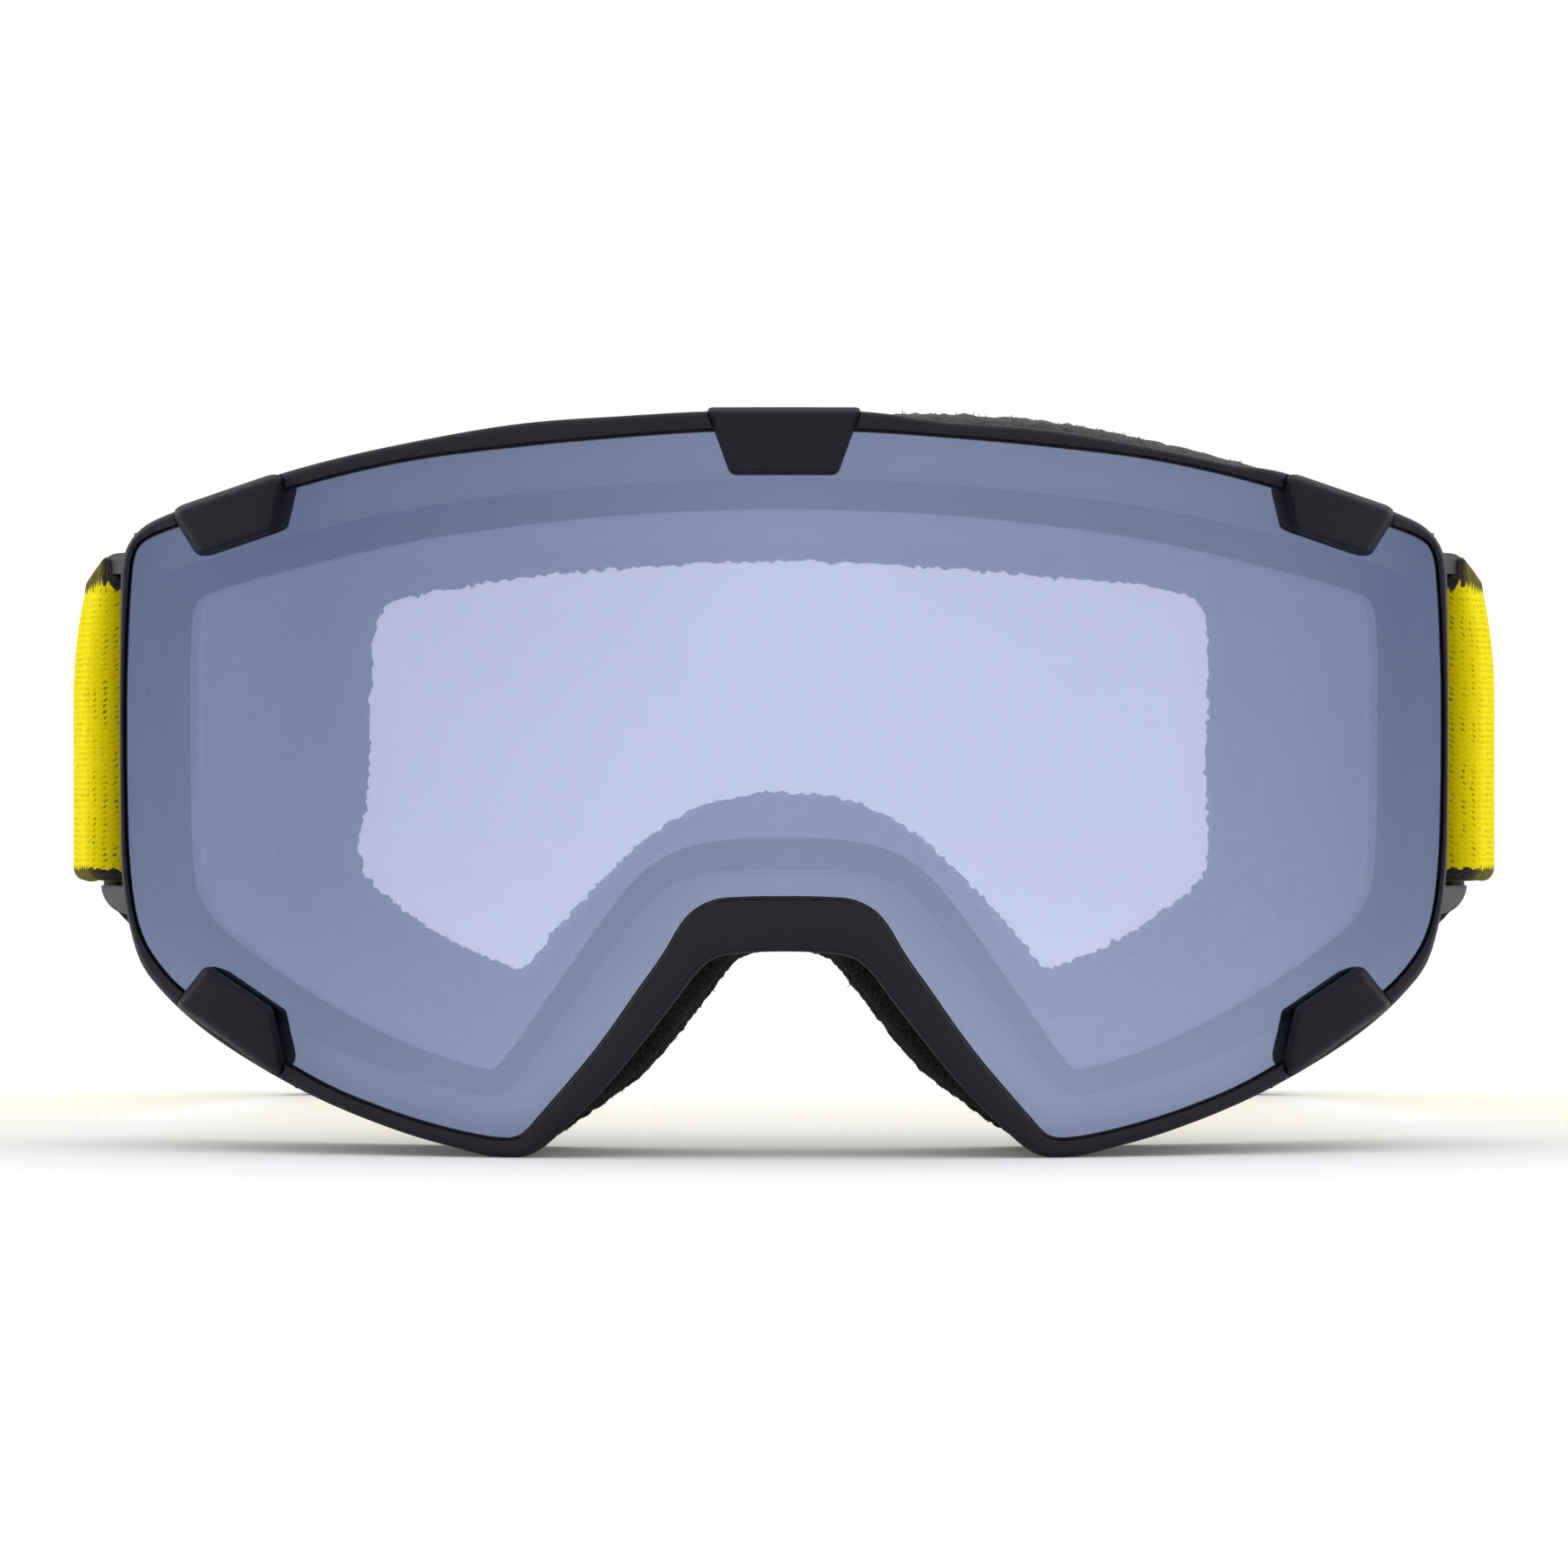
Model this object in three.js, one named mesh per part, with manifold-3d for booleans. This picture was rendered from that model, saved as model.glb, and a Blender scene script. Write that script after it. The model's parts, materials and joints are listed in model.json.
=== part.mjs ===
// Ski goggles, in millimetres.
// X runs across the face, Y from the lens towards the face, Z up.
// The goggles stand on the two lower lobes of the frame and on the ends of the strap, at z = 0.
import * as THREE from "three";
import { mergeVertices } from "three/addons/utils/BufferGeometryUtils.js";
import Module from "manifold-3d";

const wasm = await Module();
wasm.setup();

// ---------------------------------------------------------------- driving dimensions
const LENS_AXIS_Y = 128; // the lens is a cylinder about the vertical line x = 0, y = 128
const RIM_R = 128.8; // front of the frame's rim
const CLIP_R = [128.1, 130.4]; // lens clips, back and front
const OUTER_LENS_R = [126.6, 127.8];
const GASKET_R = [123.3, 126.3];
const INNER_LENS_R = [122.2, 123.0];
const SEAT_R = [119.6, 121.9]; // the flange the lens unit sits on
const BACK_R = 105; // the back of the frame is a tighter cylinder
const BACK_Y = 22; // its depth at the centre
const WALL = 2.2; // frame wall
const REAR_FLANGE = 2.0;
const SIDE_X = 82.9; // the side walls are set in behind the rim to clear the outriggers
const FOAM_X = 82.4;
const FOAM_BASE = [0.3, 5.0]; // depth of each foam layer behind the frame
const FOAM_SOFT = [5.3, 13.5];
const FOAM_FLEECE = [13.8, 17.0];
const LENS_GAP = 0.35; // between the lens edge and the rim
const CLIP_GAP = 0.35; // between a clip and its pocket in the rim

const PIN = { x: 85.4, y: 49.5, r: 0.8, z: [27.2, 83.2] }; // outrigger hinge
const BARREL_R = 1.9;
const BORE_R = 1.12;
const BAR = { x: 90.4, y: 58.0, r: 1.6 }; // strap bar of the outrigger
const WING_Z = [30.9, 79.5];
const SLOT_Z = [34.7, 76.7];

const STRAP_T = 1.6; // strap thickness
const STRAP_Z = [35.3, 76.1]; // strap edges at the outrigger, a 41 mm band
const LAYER = 1.9; // spacing of two strap layers lying on each other
const TAIL = { x: 93.6, y: 98, slope: 0.1066 }; // straight run of the strap, seen from above
const DROOP = { from: 84, to: 108, slope: 0.207 }; // the strap bends down until its end reaches z = 0
const SLIDER_Y = [116, 130];
const END_BAR_Y = 250; // bar of the rear clip
const END_BAR_R = 1.5;
const CLIP_Z = [0, 47.6];

// Half outlines in the X-Z plane, from the top centre down to the nose, for x >= 0.
const RIM_OUTLINE = [
  [0, 96.64], [9.91, 96.54], [20.23, 96.03], [33.99, 95.14], [47.65, 93.06], [61.51, 90.24],
  [73.28, 86.95], [80.12, 84.59], [84.73, 82.64], [86.57, 80.96], [87.56, 79.14], [88.05, 76.96],
  [88.17, 72.93], [88.3, 62], [88.3, 52.32], [88.23, 44.14], [88.05, 37.23], [87.56, 32.63],
  [86.82, 29.18], [85.59, 25.29], [84.37, 23.24], [82.9, 21.55], [80.12, 18.85], [75.67, 15.39],
  [67.96, 10.75], [59.42, 6.6], [49.02, 2.82], [42.05, 1.0], [38.2, 0], [33.8, 0],
  [31.61, 1.01], [28.22, 3.96], [22.82, 9.38], [17.98, 15.24], [13.16, 21.52], [11.48, 23.77],
  [9.68, 25.45], [8.12, 26.12], [4.5, 26.6], [0, 26.74],
];
const LENS_OUTLINE = [
  [0, 94.1], [9.92, 94.01], [20.25, 93.38], [34.02, 92.26], [49.07, 90.52], [64.14, 87.26],
  [80.08, 82.45], [83.61, 81.27], [85.44, 80.16], [86.3, 78.45], [86.67, 75.81], [87.29, 64.88],
  [87.41, 55], [87.29, 46.44], [87.04, 38.95], [86.18, 31.94], [85.44, 29.18], [84.34, 26.78],
  [82.51, 24.28], [79.84, 21.58], [69.8, 14.78], [60.4, 9.38], [53.79, 6.66], [46.66, 4.39],
  [39.69, 2.79], [36.85, 2.43], [34.92, 2.51], [33.56, 3.2], [32.2, 4.68], [24.41, 13.83],
  [18.78, 21.71], [15.53, 26.31], [12.95, 30.58], [11.49, 32.04], [9.92, 32.94], [8.24, 33.44],
  [4.76, 33.67], [0, 33.73],
];
const GASKET_OUTLINE = [
  [0, 87.99], [20.27, 87.26], [34.06, 86.12], [49.13, 84.25], [64.23, 81.06], [80.69, 76.77],
  [83.38, 75.44], [84.23, 72.93], [84.72, 55], [84.48, 38.96], [83.99, 33.78], [83.01, 30.34],
  [81.18, 27.49], [77.07, 23.99], [62.82, 15.54], [48.9, 10.07], [39.06, 7.93], [37.24, 7.95],
  [35.87, 8.75], [27.04, 20.41], [18.81, 31.67], [15.55, 34.82], [12.06, 36.39], [8.13, 37.13],
  [0, 37.3],
];
const GASKET_OPENING = [
  [0, 84.06], [20.27, 83.44], [34.06, 82.29], [49.13, 80.4], [64.23, 77.42], [79.24, 73.76],
  [81.42, 72.65], [82.28, 70.59], [82.64, 55], [82.4, 40.12], [81.91, 35.52], [80.81, 32.66],
  [78.88, 30.16], [74.66, 27.0], [62.24, 19.41], [49.48, 13.68], [39.97, 11.08], [38.38, 11.09],
  [37.24, 11.78], [29.52, 22.31], [20.5, 34.7], [16.89, 38.07], [12.62, 40.21], [7.01, 41.22],
  [0, 41.45],
];
const SEAT_OPENING = [
  [0, 79.36], [20.35, 79.18], [34.19, 78.69], [55.95, 78.0], [65.46, 76.19], [73.58, 74.59],
  [75.87, 73.94], [76.6, 72.92], [76.96, 60], [76.96, 38.96], [76.6, 29.18], [75.39, 27.47],
  [62.51, 19.51], [50.26, 14.44], [39.9, 12.18], [37.16, 11.98], [36.02, 12.33], [29.64, 20.96],
  [22.84, 30.36], [19.67, 34.31], [16.06, 37.47], [12.11, 39.95], [8.16, 41.76], [0, 42.55],
];
const FACE_OPENING = [
  [0, 78.35], [14.18, 77.91], [29.3, 76.83], [40.45, 75.4], [49.34, 73.74], [51.73, 73.07],
  [53.29, 71.68], [54.13, 69.82], [55.21, 59.29], [55.82, 48.75], [57.02, 38.79], [55.58, 35.52],
  [46.96, 28.92], [39.86, 25.36], [36.91, 24.22], [35.15, 23.76], [33.86, 24.59], [29.3, 30.18],
  [20.56, 38.9], [16.5, 42.38], [13.02, 44.35], [8.96, 45.97], [0, 47.13],
];
// The foam follows the rim, and fills a little of the nose arch.
const FOAM_OUTLINE = [
  [0, 96.1], [20.23, 95.5], [33.99, 94.6], [47.65, 92.5], [61.51, 89.7], [73.28, 86.4],
  [80.12, 84.0], [84.5, 82.0], [86.2, 80.5], [87.0, 79.0], [87.5, 76.9], [87.8, 62],
  [87.7, 44.14], [87.5, 37.23], [86.3, 29.3], [85.0, 25.6], [83.8, 23.6], [79.8, 19.4],
  [67.7, 11.3], [59.2, 7.2], [48.9, 3.4], [42.0, 1.6], [38.2, 0.6], [33.8, 0.6],
  [31.0, 1.9], [27.0, 4.5], [23.35, 7.2], [20.56, 9.2], [17.54, 12.0], [13.6, 16.7],
  [10.0, 21.2], [6.53, 24.9], [0, 25.7],
];
// Lens clips, outer edge first, each in the X-Z plane.
const TOP_CLIP = [[-9.9, 97.0], [9.9, 97.0], [9.95, 96.0], [7.25, 88.9], [6.6, 88.3], [-6.6, 88.3], [-7.25, 88.9], [-9.95, 96.0]];
const UPPER_CLIP = [[66.45, 89.2], [80.1, 85.0], [80.2, 83.4], [77.0, 79.0], [76.1, 78.6], [74.9, 78.6], [65.8, 81.45], [65.0, 82.1], [64.0, 87.2]];
const LOWER_CLIP = [[80.5, 19.3], [66.95, 10.25], [64.5, 11.9], [65.6, 17.7], [66.2, 18.5], [74.6, 23.8], [75.9, 24.1], [76.8, 23.6]];

// ---------------------------------------------------------------- solids
// A three.js geometry as a solid that can be cut and joined.
function solid(geometry) {
  const g = (geometry.index ? geometry.toNonIndexed() : geometry.clone());
  g.deleteAttribute("normal");
  g.deleteAttribute("uv");
  const m = mergeVertices(g, 1e-5);
  return new wasm.Manifold(
    new wasm.Mesh({
      numProp: 3,
      vertProperties: new Float32Array(m.attributes.position.array),
      triVerts: new Uint32Array(m.index.array),
    }),
  );
}
function geometryOf(manifold) {
  const m = manifold.getMesh(), n = m.numProp, v = new Float32Array(m.numVert * 3);
  for (let i = 0; i < m.numVert; i++) v.set(m.vertProperties.subarray(i * n, i * n + 3), i * 3);
  const g = new THREE.BufferGeometry();
  g.setAttribute("position", new THREE.BufferAttribute(v, 3));
  g.setIndex(new THREE.BufferAttribute(new Uint32Array(m.triVerts), 1));
  g.computeVertexNormals();
  return g;
}
// Outlines run counter-clockwise, whichever way they were listed.
const turned = (points) => {
  const v = points.map(([a, b]) => new THREE.Vector2(a, b));
  return THREE.ShapeUtils.area(v) < 0 ? v.reverse() : v;
};
const shapeOf = (points, hole) => {
  const s = new THREE.Shape(turned(points));
  if (hole) s.holes.push(new THREE.Path(turned(hole)));
  return s;
};
const extrude = (points, depth, hole) =>
  new THREE.ExtrudeGeometry(shapeOf(points, hole), { depth, steps: 1, bevelEnabled: false });
// An X-Z outline extruded along Y.
function prismY(points, y0, y1, hole) {
  const g = extrude(points, y1 - y0, hole);
  g.rotateX(Math.PI / 2);
  g.translate(0, y1, 0);
  return solid(g);
}
// An X-Y outline extruded along Z.
function prismZ(points, z0, z1, hole) {
  const g = extrude(points, z1 - z0, hole);
  g.translate(0, 0, z0);
  return solid(g);
}
// A Y-Z outline extruded along X.
function prismX(points, x0, x1) {
  const g = extrude(points, x1 - x0);
  g.applyMatrix4(new THREE.Matrix4().makeBasis(new THREE.Vector3(0, 1, 0), new THREE.Vector3(0, 0, 1), new THREE.Vector3(1, 0, 0)));
  g.translate(x0, 0, 0);
  return solid(g);
}
function box(x0, x1, y0, y1, z0, z1) {
  const g = new THREE.BoxGeometry(x1 - x0, y1 - y0, z1 - z0);
  g.translate((x0 + x1) / 2, (y0 + y1) / 2, (z0 + z1) / 2);
  return solid(g);
}
// A round bar standing on z0.
function rodZ(x, y, r, z0, z1, sides = 16) {
  const g = new THREE.CylinderGeometry(r, r, z1 - z0, sides);
  g.rotateX(Math.PI / 2);
  g.translate(x, y, (z0 + z1) / 2);
  return solid(g);
}
function rodY(x, z, r, y0, y1, sides = 12) {
  const g = new THREE.CylinderGeometry(r, r, y1 - y0, sides);
  g.translate(x, (y0 + y1) / 2, z);
  return solid(g);
}
const full = (half) => [
  ...half,
  ...half.slice(1, -1).reverse().map(([x, z]) => [-x, z]),
];
// Moves a closed outline inwards by d, each edge parallel to itself.
function inset(points, d) {
  let area = 0;
  points.forEach(([x, z], i) => {
    const [u, w] = points[(i + 1) % points.length];
    area += x * w - u * z;
  });
  const s = Math.sign(area) * d, n = points.length;
  return points.map((p, i) => {
    const a = points[(i + n - 1) % n], b = points[(i + 1) % n];
    const e = [p[0] - a[0], p[1] - a[1]], f = [b[0] - p[0], b[1] - p[1]];
    const le = Math.hypot(...e), lf = Math.hypot(...f);
    const ne = [-e[1] / le, e[0] / le], nf = [-f[1] / lf, f[0] / lf];
    const k = 1 + ne[0] * nf[0] + ne[1] * nf[1];
    return [p[0] + (s * (ne[0] + nf[0])) / k, p[1] + (s * (ne[1] + nf[1])) / k];
  });
}
// Points on an arc about (0, cy), from angle -a to a, measured from the -Y direction.
function arc(r, cy, a, steps) {
  return Array.from({ length: steps + 1 }, (_, i) => {
    const t = -a + (2 * a * i) / steps;
    return [r * Math.sin(t), cy - r * Math.cos(t)];
  });
}
const LENS_A = (48 * Math.PI) / 180;
const LENS_STEPS = 24;
const lensBand = (r0, r1) =>
  prismZ([...arc(r1, LENS_AXIS_Y, LENS_A, LENS_STEPS), ...arc(r0, LENS_AXIS_Y, LENS_A, LENS_STEPS).reverse()], -10, 110);
// The slice between two depths behind the back of the frame.
const BACK_A = (62 * Math.PI) / 180;
const backArc = (d) => arc(BACK_R, BACK_Y + BACK_R + d, BACK_A, 24);
const backBand = (d0, d1) => prismZ([...backArc(d0), ...backArc(d1).reverse()], -10, 110);
const clampX = (s, x) => s.intersect(box(-x, x, -20, 140, -20, 120));

const O = full(RIM_OUTLINE), L = full(LENS_OUTLINE), G = full(GASKET_OUTLINE), GO = full(GASKET_OPENING);
const S = full(SEAT_OPENING), W = full(FACE_OPENING), FO = full(FOAM_OUTLINE);
const mirrored = (pts) => pts.map(([x, z]) => [-x, z]);
const clips = {
  clip_top: TOP_CLIP,
  clip_upper_right: UPPER_CLIP,
  clip_upper_left: mirrored(UPPER_CLIP),
  clip_lower_right: LOWER_CLIP,
  clip_lower_left: mirrored(LOWER_CLIP),
};

// ---------------------------------------------------------------- frame
function frameShell() {
  // Front band: the rim around the lens and the seat behind it.
  let f = prismY(O, -6, 60, S).intersect(lensBand(SEAT_R[0], RIM_R));
  f = f.subtract(prismY(inset(L, -LENS_GAP), -10, 60).intersect(lensBand(SEAT_R[1], 140)));
  // Side wall from the seat to the back.
  const wallSlab = prismZ([...arc(120.4, LENS_AXIS_Y, LENS_A, LENS_STEPS), ...backArc(0).filter(([x]) => Math.abs(x) < 88).reverse()], -10, 110);
  let wall = clampX(prismY(O, -6, 80), SIDE_X).subtract(clampX(prismY(inset(O, WALL), -10, 90), SIDE_X - WALL));
  wall = wall.intersect(wallSlab);
  // Flange at the back, which the face foam is glued to.
  const flange = clampX(prismY(O, -6, 80, S), SIDE_X).intersect(backBand(-REAR_FLANGE, 0));
  f = f.add(wall).add(flange);
  // Lugs that hold the outrigger pins.
  for (const s of [-1, 1])
    for (const [z0, z1] of [[PIN.z[0] + 0.3, WING_Z[0] - 0.3], [WING_Z[1] + 0.3, PIN.z[1] - 0.3]]) {
      const arm = box(Math.min(s * 82, s * (PIN.x + 0.2)), Math.max(s * 82, s * (PIN.x + 0.2)), 44.2, PIN.y + BARREL_R, z0, z1);
      f = f.add(arm).add(rodZ(s * PIN.x, PIN.y, BARREL_R, z0, z1));
    }
  for (const s of [-1, 1]) f = f.subtract(rodZ(s * PIN.x, PIN.y, BORE_R, 20, 95));
  // Pockets that the lens clips sit in.
  for (const pts of Object.values(clips))
    f = f.subtract(prismY(inset(pts, -CLIP_GAP), -10, 60).intersect(lensBand(OUTER_LENS_R[1], 140)));
  // Vent slots through the top and bottom walls.
  for (const [x0, x1, y0, y1] of [[3, 18, 11.5, 18.5], [22, 37, 15, 22], [41, 55, 23, 29]])
    for (const s of [-1, 1]) f = f.subtract(box(Math.min(s * x0, s * x1), Math.max(s * x0, s * x1), y0, y1, 84, 110));
  for (const [x0, x1, y0, y1] of [[42, 51, 21, 27.5], [54, 64, 28, 34]])
    for (const s of [-1, 1]) f = f.subtract(box(Math.min(s * x0, s * x1), Math.max(s * x0, s * x1), y0, y1, -5, 11));
  return f;
}

// Open-cell foam strip just inside the wall: an outline strip, shifted away from the wall.
function ventFoam(xs, zOf, toward, y0Of, y1Of) {
  const near = xs.map((x) => [x, zOf(x) + toward * 3.2]), far = xs.map((x) => [x, zOf(x) + toward * 6.2]).reverse();
  const plan = [...xs.map((x) => [x, y0Of(x)]), ...xs.map((x) => [x, y1Of(x)]).reverse()];
  return prismY([...near, ...far], -5, 90).intersect(prismZ(plan, -10, 110));
}
const interp = (half, x) => {
  const a = Math.abs(x);
  for (let i = 0; i + 1 < half.length; i++) {
    const [x0, z0] = half[i], [x1, z1] = half[i + 1];
    if (a >= x0 && a <= x1 && x1 > x0) return z0 + ((z1 - z0) * (a - x0)) / (x1 - x0);
  }
  return half[0][1];
};
const topZ = (x) => interp(RIM_OUTLINE.slice(0, 9), x);
const bottomZ = (x) => interp(RIM_OUTLINE.slice(19, 29).reverse(), x);
const seatBackY = (x) => LENS_AXIS_Y - Math.sqrt(SEAT_R[0] ** 2 - x * x);
const rearY = (x) => BACK_Y + BACK_R - Math.sqrt(BACK_R ** 2 - x * x);
const range = (a, b, n) => Array.from({ length: n + 1 }, (_, i) => a + ((b - a) * i) / n);

// ---------------------------------------------------------------- outriggers and strap, for one side
const tailX = (y) => TAIL.x - TAIL.slope * (y - TAIL.y); // centre of the outer strap layer
const tailLen = Math.hypot(1, TAIL.slope);
const along = [-TAIL.slope / tailLen, 1 / tailLen]; // towards the strap's end
const inward = [-1 / tailLen, -TAIL.slope / tailLen]; // towards the head
const drop = (y) => {
  const { from, to, slope } = DROOP;
  if (y <= from) return 0;
  if (y <= to) return (slope * (y - from) ** 2) / (2 * (to - from));
  return (slope * (to - from)) / 2 + slope * (y - to);
};
const flip = (s, pts) => pts.map(([x, y]) => [s * x, y]);
function offsetPath(path, d) {
  return path.map((p, i) => {
    const a = path[Math.max(i - 1, 0)], b = path[Math.min(i + 1, path.length - 1)];
    const t = [b[0] - a[0], b[1] - a[1]], l = Math.hypot(...t);
    return [p[0] - (t[1] / l) * d, p[1] + (t[0] / l) * d];
  });
}
// Centre line of the webbing from the end of its inner layer, round the outrigger bar,
// back along the outer layer, round the bar of the rear clip to its sewn end.
function strapPath() {
  const r = BAR.r + 0.4 + STRAP_T / 2;
  const p = [];
  const inner = (y) => [tailX(y) + inward[0] * LAYER, y + inward[1] * LAYER];
  p.push(inner(121), inner(109), inner(99));
  p.push([91.0, 88], [90.0, 80], [88.8, 71], [BAR.x - r - 0.05, 63]);
  for (const a of range(180, 360, 8)) {
    const t = (a * Math.PI) / 180;
    p.push([BAR.x + r * Math.cos(t), BAR.y + r * Math.sin(t)]);
  }
  p.push([94.6, 62.5], [95.6, 67.5], [95.95, 73], [95.7, 80], [94.9, 88], [tailX(98), 98], [tailX(108), 108], [tailX(170), 170]);
  const re = END_BAR_R + 0.4 + STRAP_T / 2;
  const cx = tailX(END_BAR_Y) + inward[0] * re, cy = END_BAR_Y + inward[1] * re;
  const base = Math.atan2(-inward[1], -inward[0]);
  p.push([tailX(240), 240]);
  for (const a of range(0, 180, 8)) {
    const t = base + (a * Math.PI) / 180;
    p.push([cx + re * Math.cos(t), cy + re * Math.sin(t)]);
  }
  const mid = (y, k) => [tailX(y) + inward[0] * k, y + inward[1] * k];
  p.push(mid(245.5, 4.2), mid(241, 2.4), mid(237, LAYER), mid(229, LAYER));
  return p;
}
const endBar = (() => {
  const re = END_BAR_R + 0.4 + STRAP_T / 2;
  return [tailX(END_BAR_Y) + inward[0] * re, END_BAR_Y + inward[1] * re];
})();
// A Y-Z band that follows the droop of the strap, between two heights at its front.
function droopBand(z0, z1, y0, y1) {
  const ys = [y0, 84, 90, 96, 102, 108, y1].filter((y, i, a) => y >= y0 && y <= y1 && a.indexOf(y) === i);
  const pts = [...ys.map((y) => [y, z0 - drop(y)]), ...[...ys].reverse().map((y) => [y, z1 - drop(y)])];
  return prismX(pts, -130, 130);
}
function strap(s) {
  const path = strapPath();
  const plan = [...offsetPath(path, STRAP_T / 2), ...offsetPath(path, -STRAP_T / 2).reverse()];
  return prismZ(flip(s, plan), -20, 110).intersect(droopBand(STRAP_Z[0], STRAP_Z[1], 40, 270));
}
function gripStrip(s, zc) {
  const pts = [];
  for (const [y, k] of [[178, STRAP_T / 2 + 0.3], [224, STRAP_T / 2 + 0.3], [224, STRAP_T / 2 + 0.9], [178, STRAP_T / 2 + 0.9]])
    pts.push([tailX(y) + inward[0] * k, y + inward[1] * k]);
  return prismZ(flip(s, pts), -20, 110).intersect(droopBand(zc - 2.2, zc + 2.2, 40, 270));
}
// Rectangle in the strap's own plan frame: u from y0 along the tail, v outwards from the outer layer.
function tailRect(y0, u0, u1, v0, v1) {
  const c = [tailX(y0), y0];
  return [[u0, v0], [u1, v0], [u1, v1], [u0, v1]].map(([u, v]) => [c[0] + along[0] * u - inward[0] * v, c[1] + along[1] * u - inward[1] * v]);
}
function slider(s) {
  const y0 = SLIDER_Y[0], len = SLIDER_Y[1] - SLIDER_Y[0], v0 = -4.1, v1 = 2.6;
  const tall = droopBand(STRAP_Z[0] - 2.1, STRAP_Z[1] + 2.1, 100, 150);
  const window_ = droopBand(STRAP_Z[0] - 0.45, STRAP_Z[1] + 0.45, 90, 160);
  const P = (u0, u1, a, b) => prismZ(flip(s, tailRect(y0, u0, u1, a, b)), -20, 110);
  // Rails above and below the strap, with two outer bars and one inner bar between them.
  let m = P(0, len, v0, v1).intersect(tall).subtract(P(-2, len + 2, v0 - 1, v1 + 1).intersect(window_));
  m = m.add(P(0, 3.2, 1.2, v1).intersect(tall)).add(P(len - 3.2, len, 1.2, v1).intersect(tall));
  m = m.add(P(len / 2 - 1.7, len / 2 + 1.7, v0, -1.15).intersect(tall));
  return m;
}
function outrigger(s) {
  const dx = BAR.x - PIN.x, dy = BAR.y - PIN.y, l = Math.hypot(dx, dy), nx = -dy / l, ny = dx / l, h = BARREL_R;
  const arm = [[PIN.x + nx * h, PIN.y + ny * h], [BAR.x + nx * h, BAR.y + ny * h], [BAR.x - nx * h, BAR.y - ny * h], [PIN.x - nx * h, PIN.y - ny * h]];
  const armOf = (z0, z1) => prismZ(flip(s, arm), z0, z1).add(rodZ(s * BAR.x, BAR.y, h, z0, z1)).add(rodZ(s * PIN.x, PIN.y, h, z0, z1));
  let m = rodZ(s * PIN.x, PIN.y, BARREL_R, WING_Z[0], WING_Z[1]);
  m = m.add(armOf(SLOT_Z[1], WING_Z[1])).add(armOf(WING_Z[0], SLOT_Z[0]));
  m = m.add(rodZ(s * BAR.x, BAR.y, BAR.r, SLOT_Z[0] - 1, SLOT_Z[1] + 1));
  m = m.subtract(rodZ(s * PIN.x, PIN.y, BORE_R, 20, 95));
  // Rounded outer corners.
  const x1 = BAR.x + h, c = 3.4;
  const outline = [[80, WING_Z[0] - 1], [x1 - c, WING_Z[0] - 1], [x1 - c, WING_Z[0]], [x1 - 1.4, WING_Z[0] + 1.2], [x1 + 0.1, WING_Z[0] + 3.6], [x1 + 0.1, WING_Z[1] - 2.6], [x1 - 1.2, WING_Z[1] - 0.8], [x1 - c, WING_Z[1]], [x1 - c, WING_Z[1] + 1], [80, WING_Z[1] + 1]];
  return m.intersect(prismY(flip(s, outline), 30, 80));
}
// Rear clip halves: a bar the strap turns round, a plate behind it, and a hook or a loop.
function clipBody(s) {
  const prism = (pts, z0, z1) =>
    prismZ(flip(s, pts.map(([u, v]) => [endBar[0] + along[0] * u - inward[0] * v, endBar[1] + along[1] * u - inward[1] * v])), z0, z1);
  const P = (u0, u1, v0, v1, z0, z1) => prism([[u0, v0], [u1, v0], [u1, v1], [u0, v1]], z0, z1);
  const [z0, z1] = CLIP_Z, rail = 2.2;
  // A frame round the strap's loop: two rails and a plate, and the bar between the rails.
  let m = P(-2.2, 8.4, -2, 2, z0, z1).subtract(P(-4, 4.4, -3, 3, z0 + rail, z1 - rail));
  m = m.add(rodZ(s * endBar[0], endBar[1], END_BAR_R, z0 + 1, z1 - 1));
  return { m, P, prism };
}
function clipHook(s) {
  const { m, prism } = clipBody(s);
  return m.add(prism([[7, -0.2], [7, 1.7], [17.5, 1.7], [17.5, -4.4], [12, -4.4], [12, -2.6], [15.3, -2.6], [15.3, -0.2]], 10, 37.6));
}
function clipLoop(s) {
  const { m, P } = clipBody(s);
  return m.add(P(7, 18, -1.7, 1.7, 2.5, 45.1).subtract(P(8.6, 15.2, -3, 3, 7.5, 40.1)));
}

// ---------------------------------------------------------------- assembly
const group = new THREE.Group();
const MAT = {
  frame: [0x26242a, 0.55, 0],
  clip: [0x2a2a32, 0.5, 0],
  wing: [0x3c3a40, 0.5, 0],
  lens: [0x9aa6cc, 0.08, 0.3],
  inner: [0xdfe4f2, 0.05, 0],
  gasket: [0x2a2c34, 0.9, 0],
  foam: [0x3a3a3c, 0.95, 0],
  fleece: [0x5a5654, 1, 0],
  strap: [0xf2e01c, 0.9, 0],
  grip: [0x222226, 0.4, 0],
  steel: [0xb4b4b8, 0.3, 1],
};
const lensUnit = new THREE.Group(), root = new THREE.Group();
group.add(root, lensUnit);
function put(parent, name, manifold, mat) {
  const [color, roughness, metalness] = MAT[mat];
  const mesh = new THREE.Mesh(geometryOf(manifold), new THREE.MeshStandardMaterial({ color, roughness, metalness, transparent: mat === "lens" || mat === "inner", opacity: mat === "lens" ? 0.55 : mat === "inner" ? 0.3 : 1 }));
  mesh.name = name;
  parent.add(mesh);
}

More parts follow.
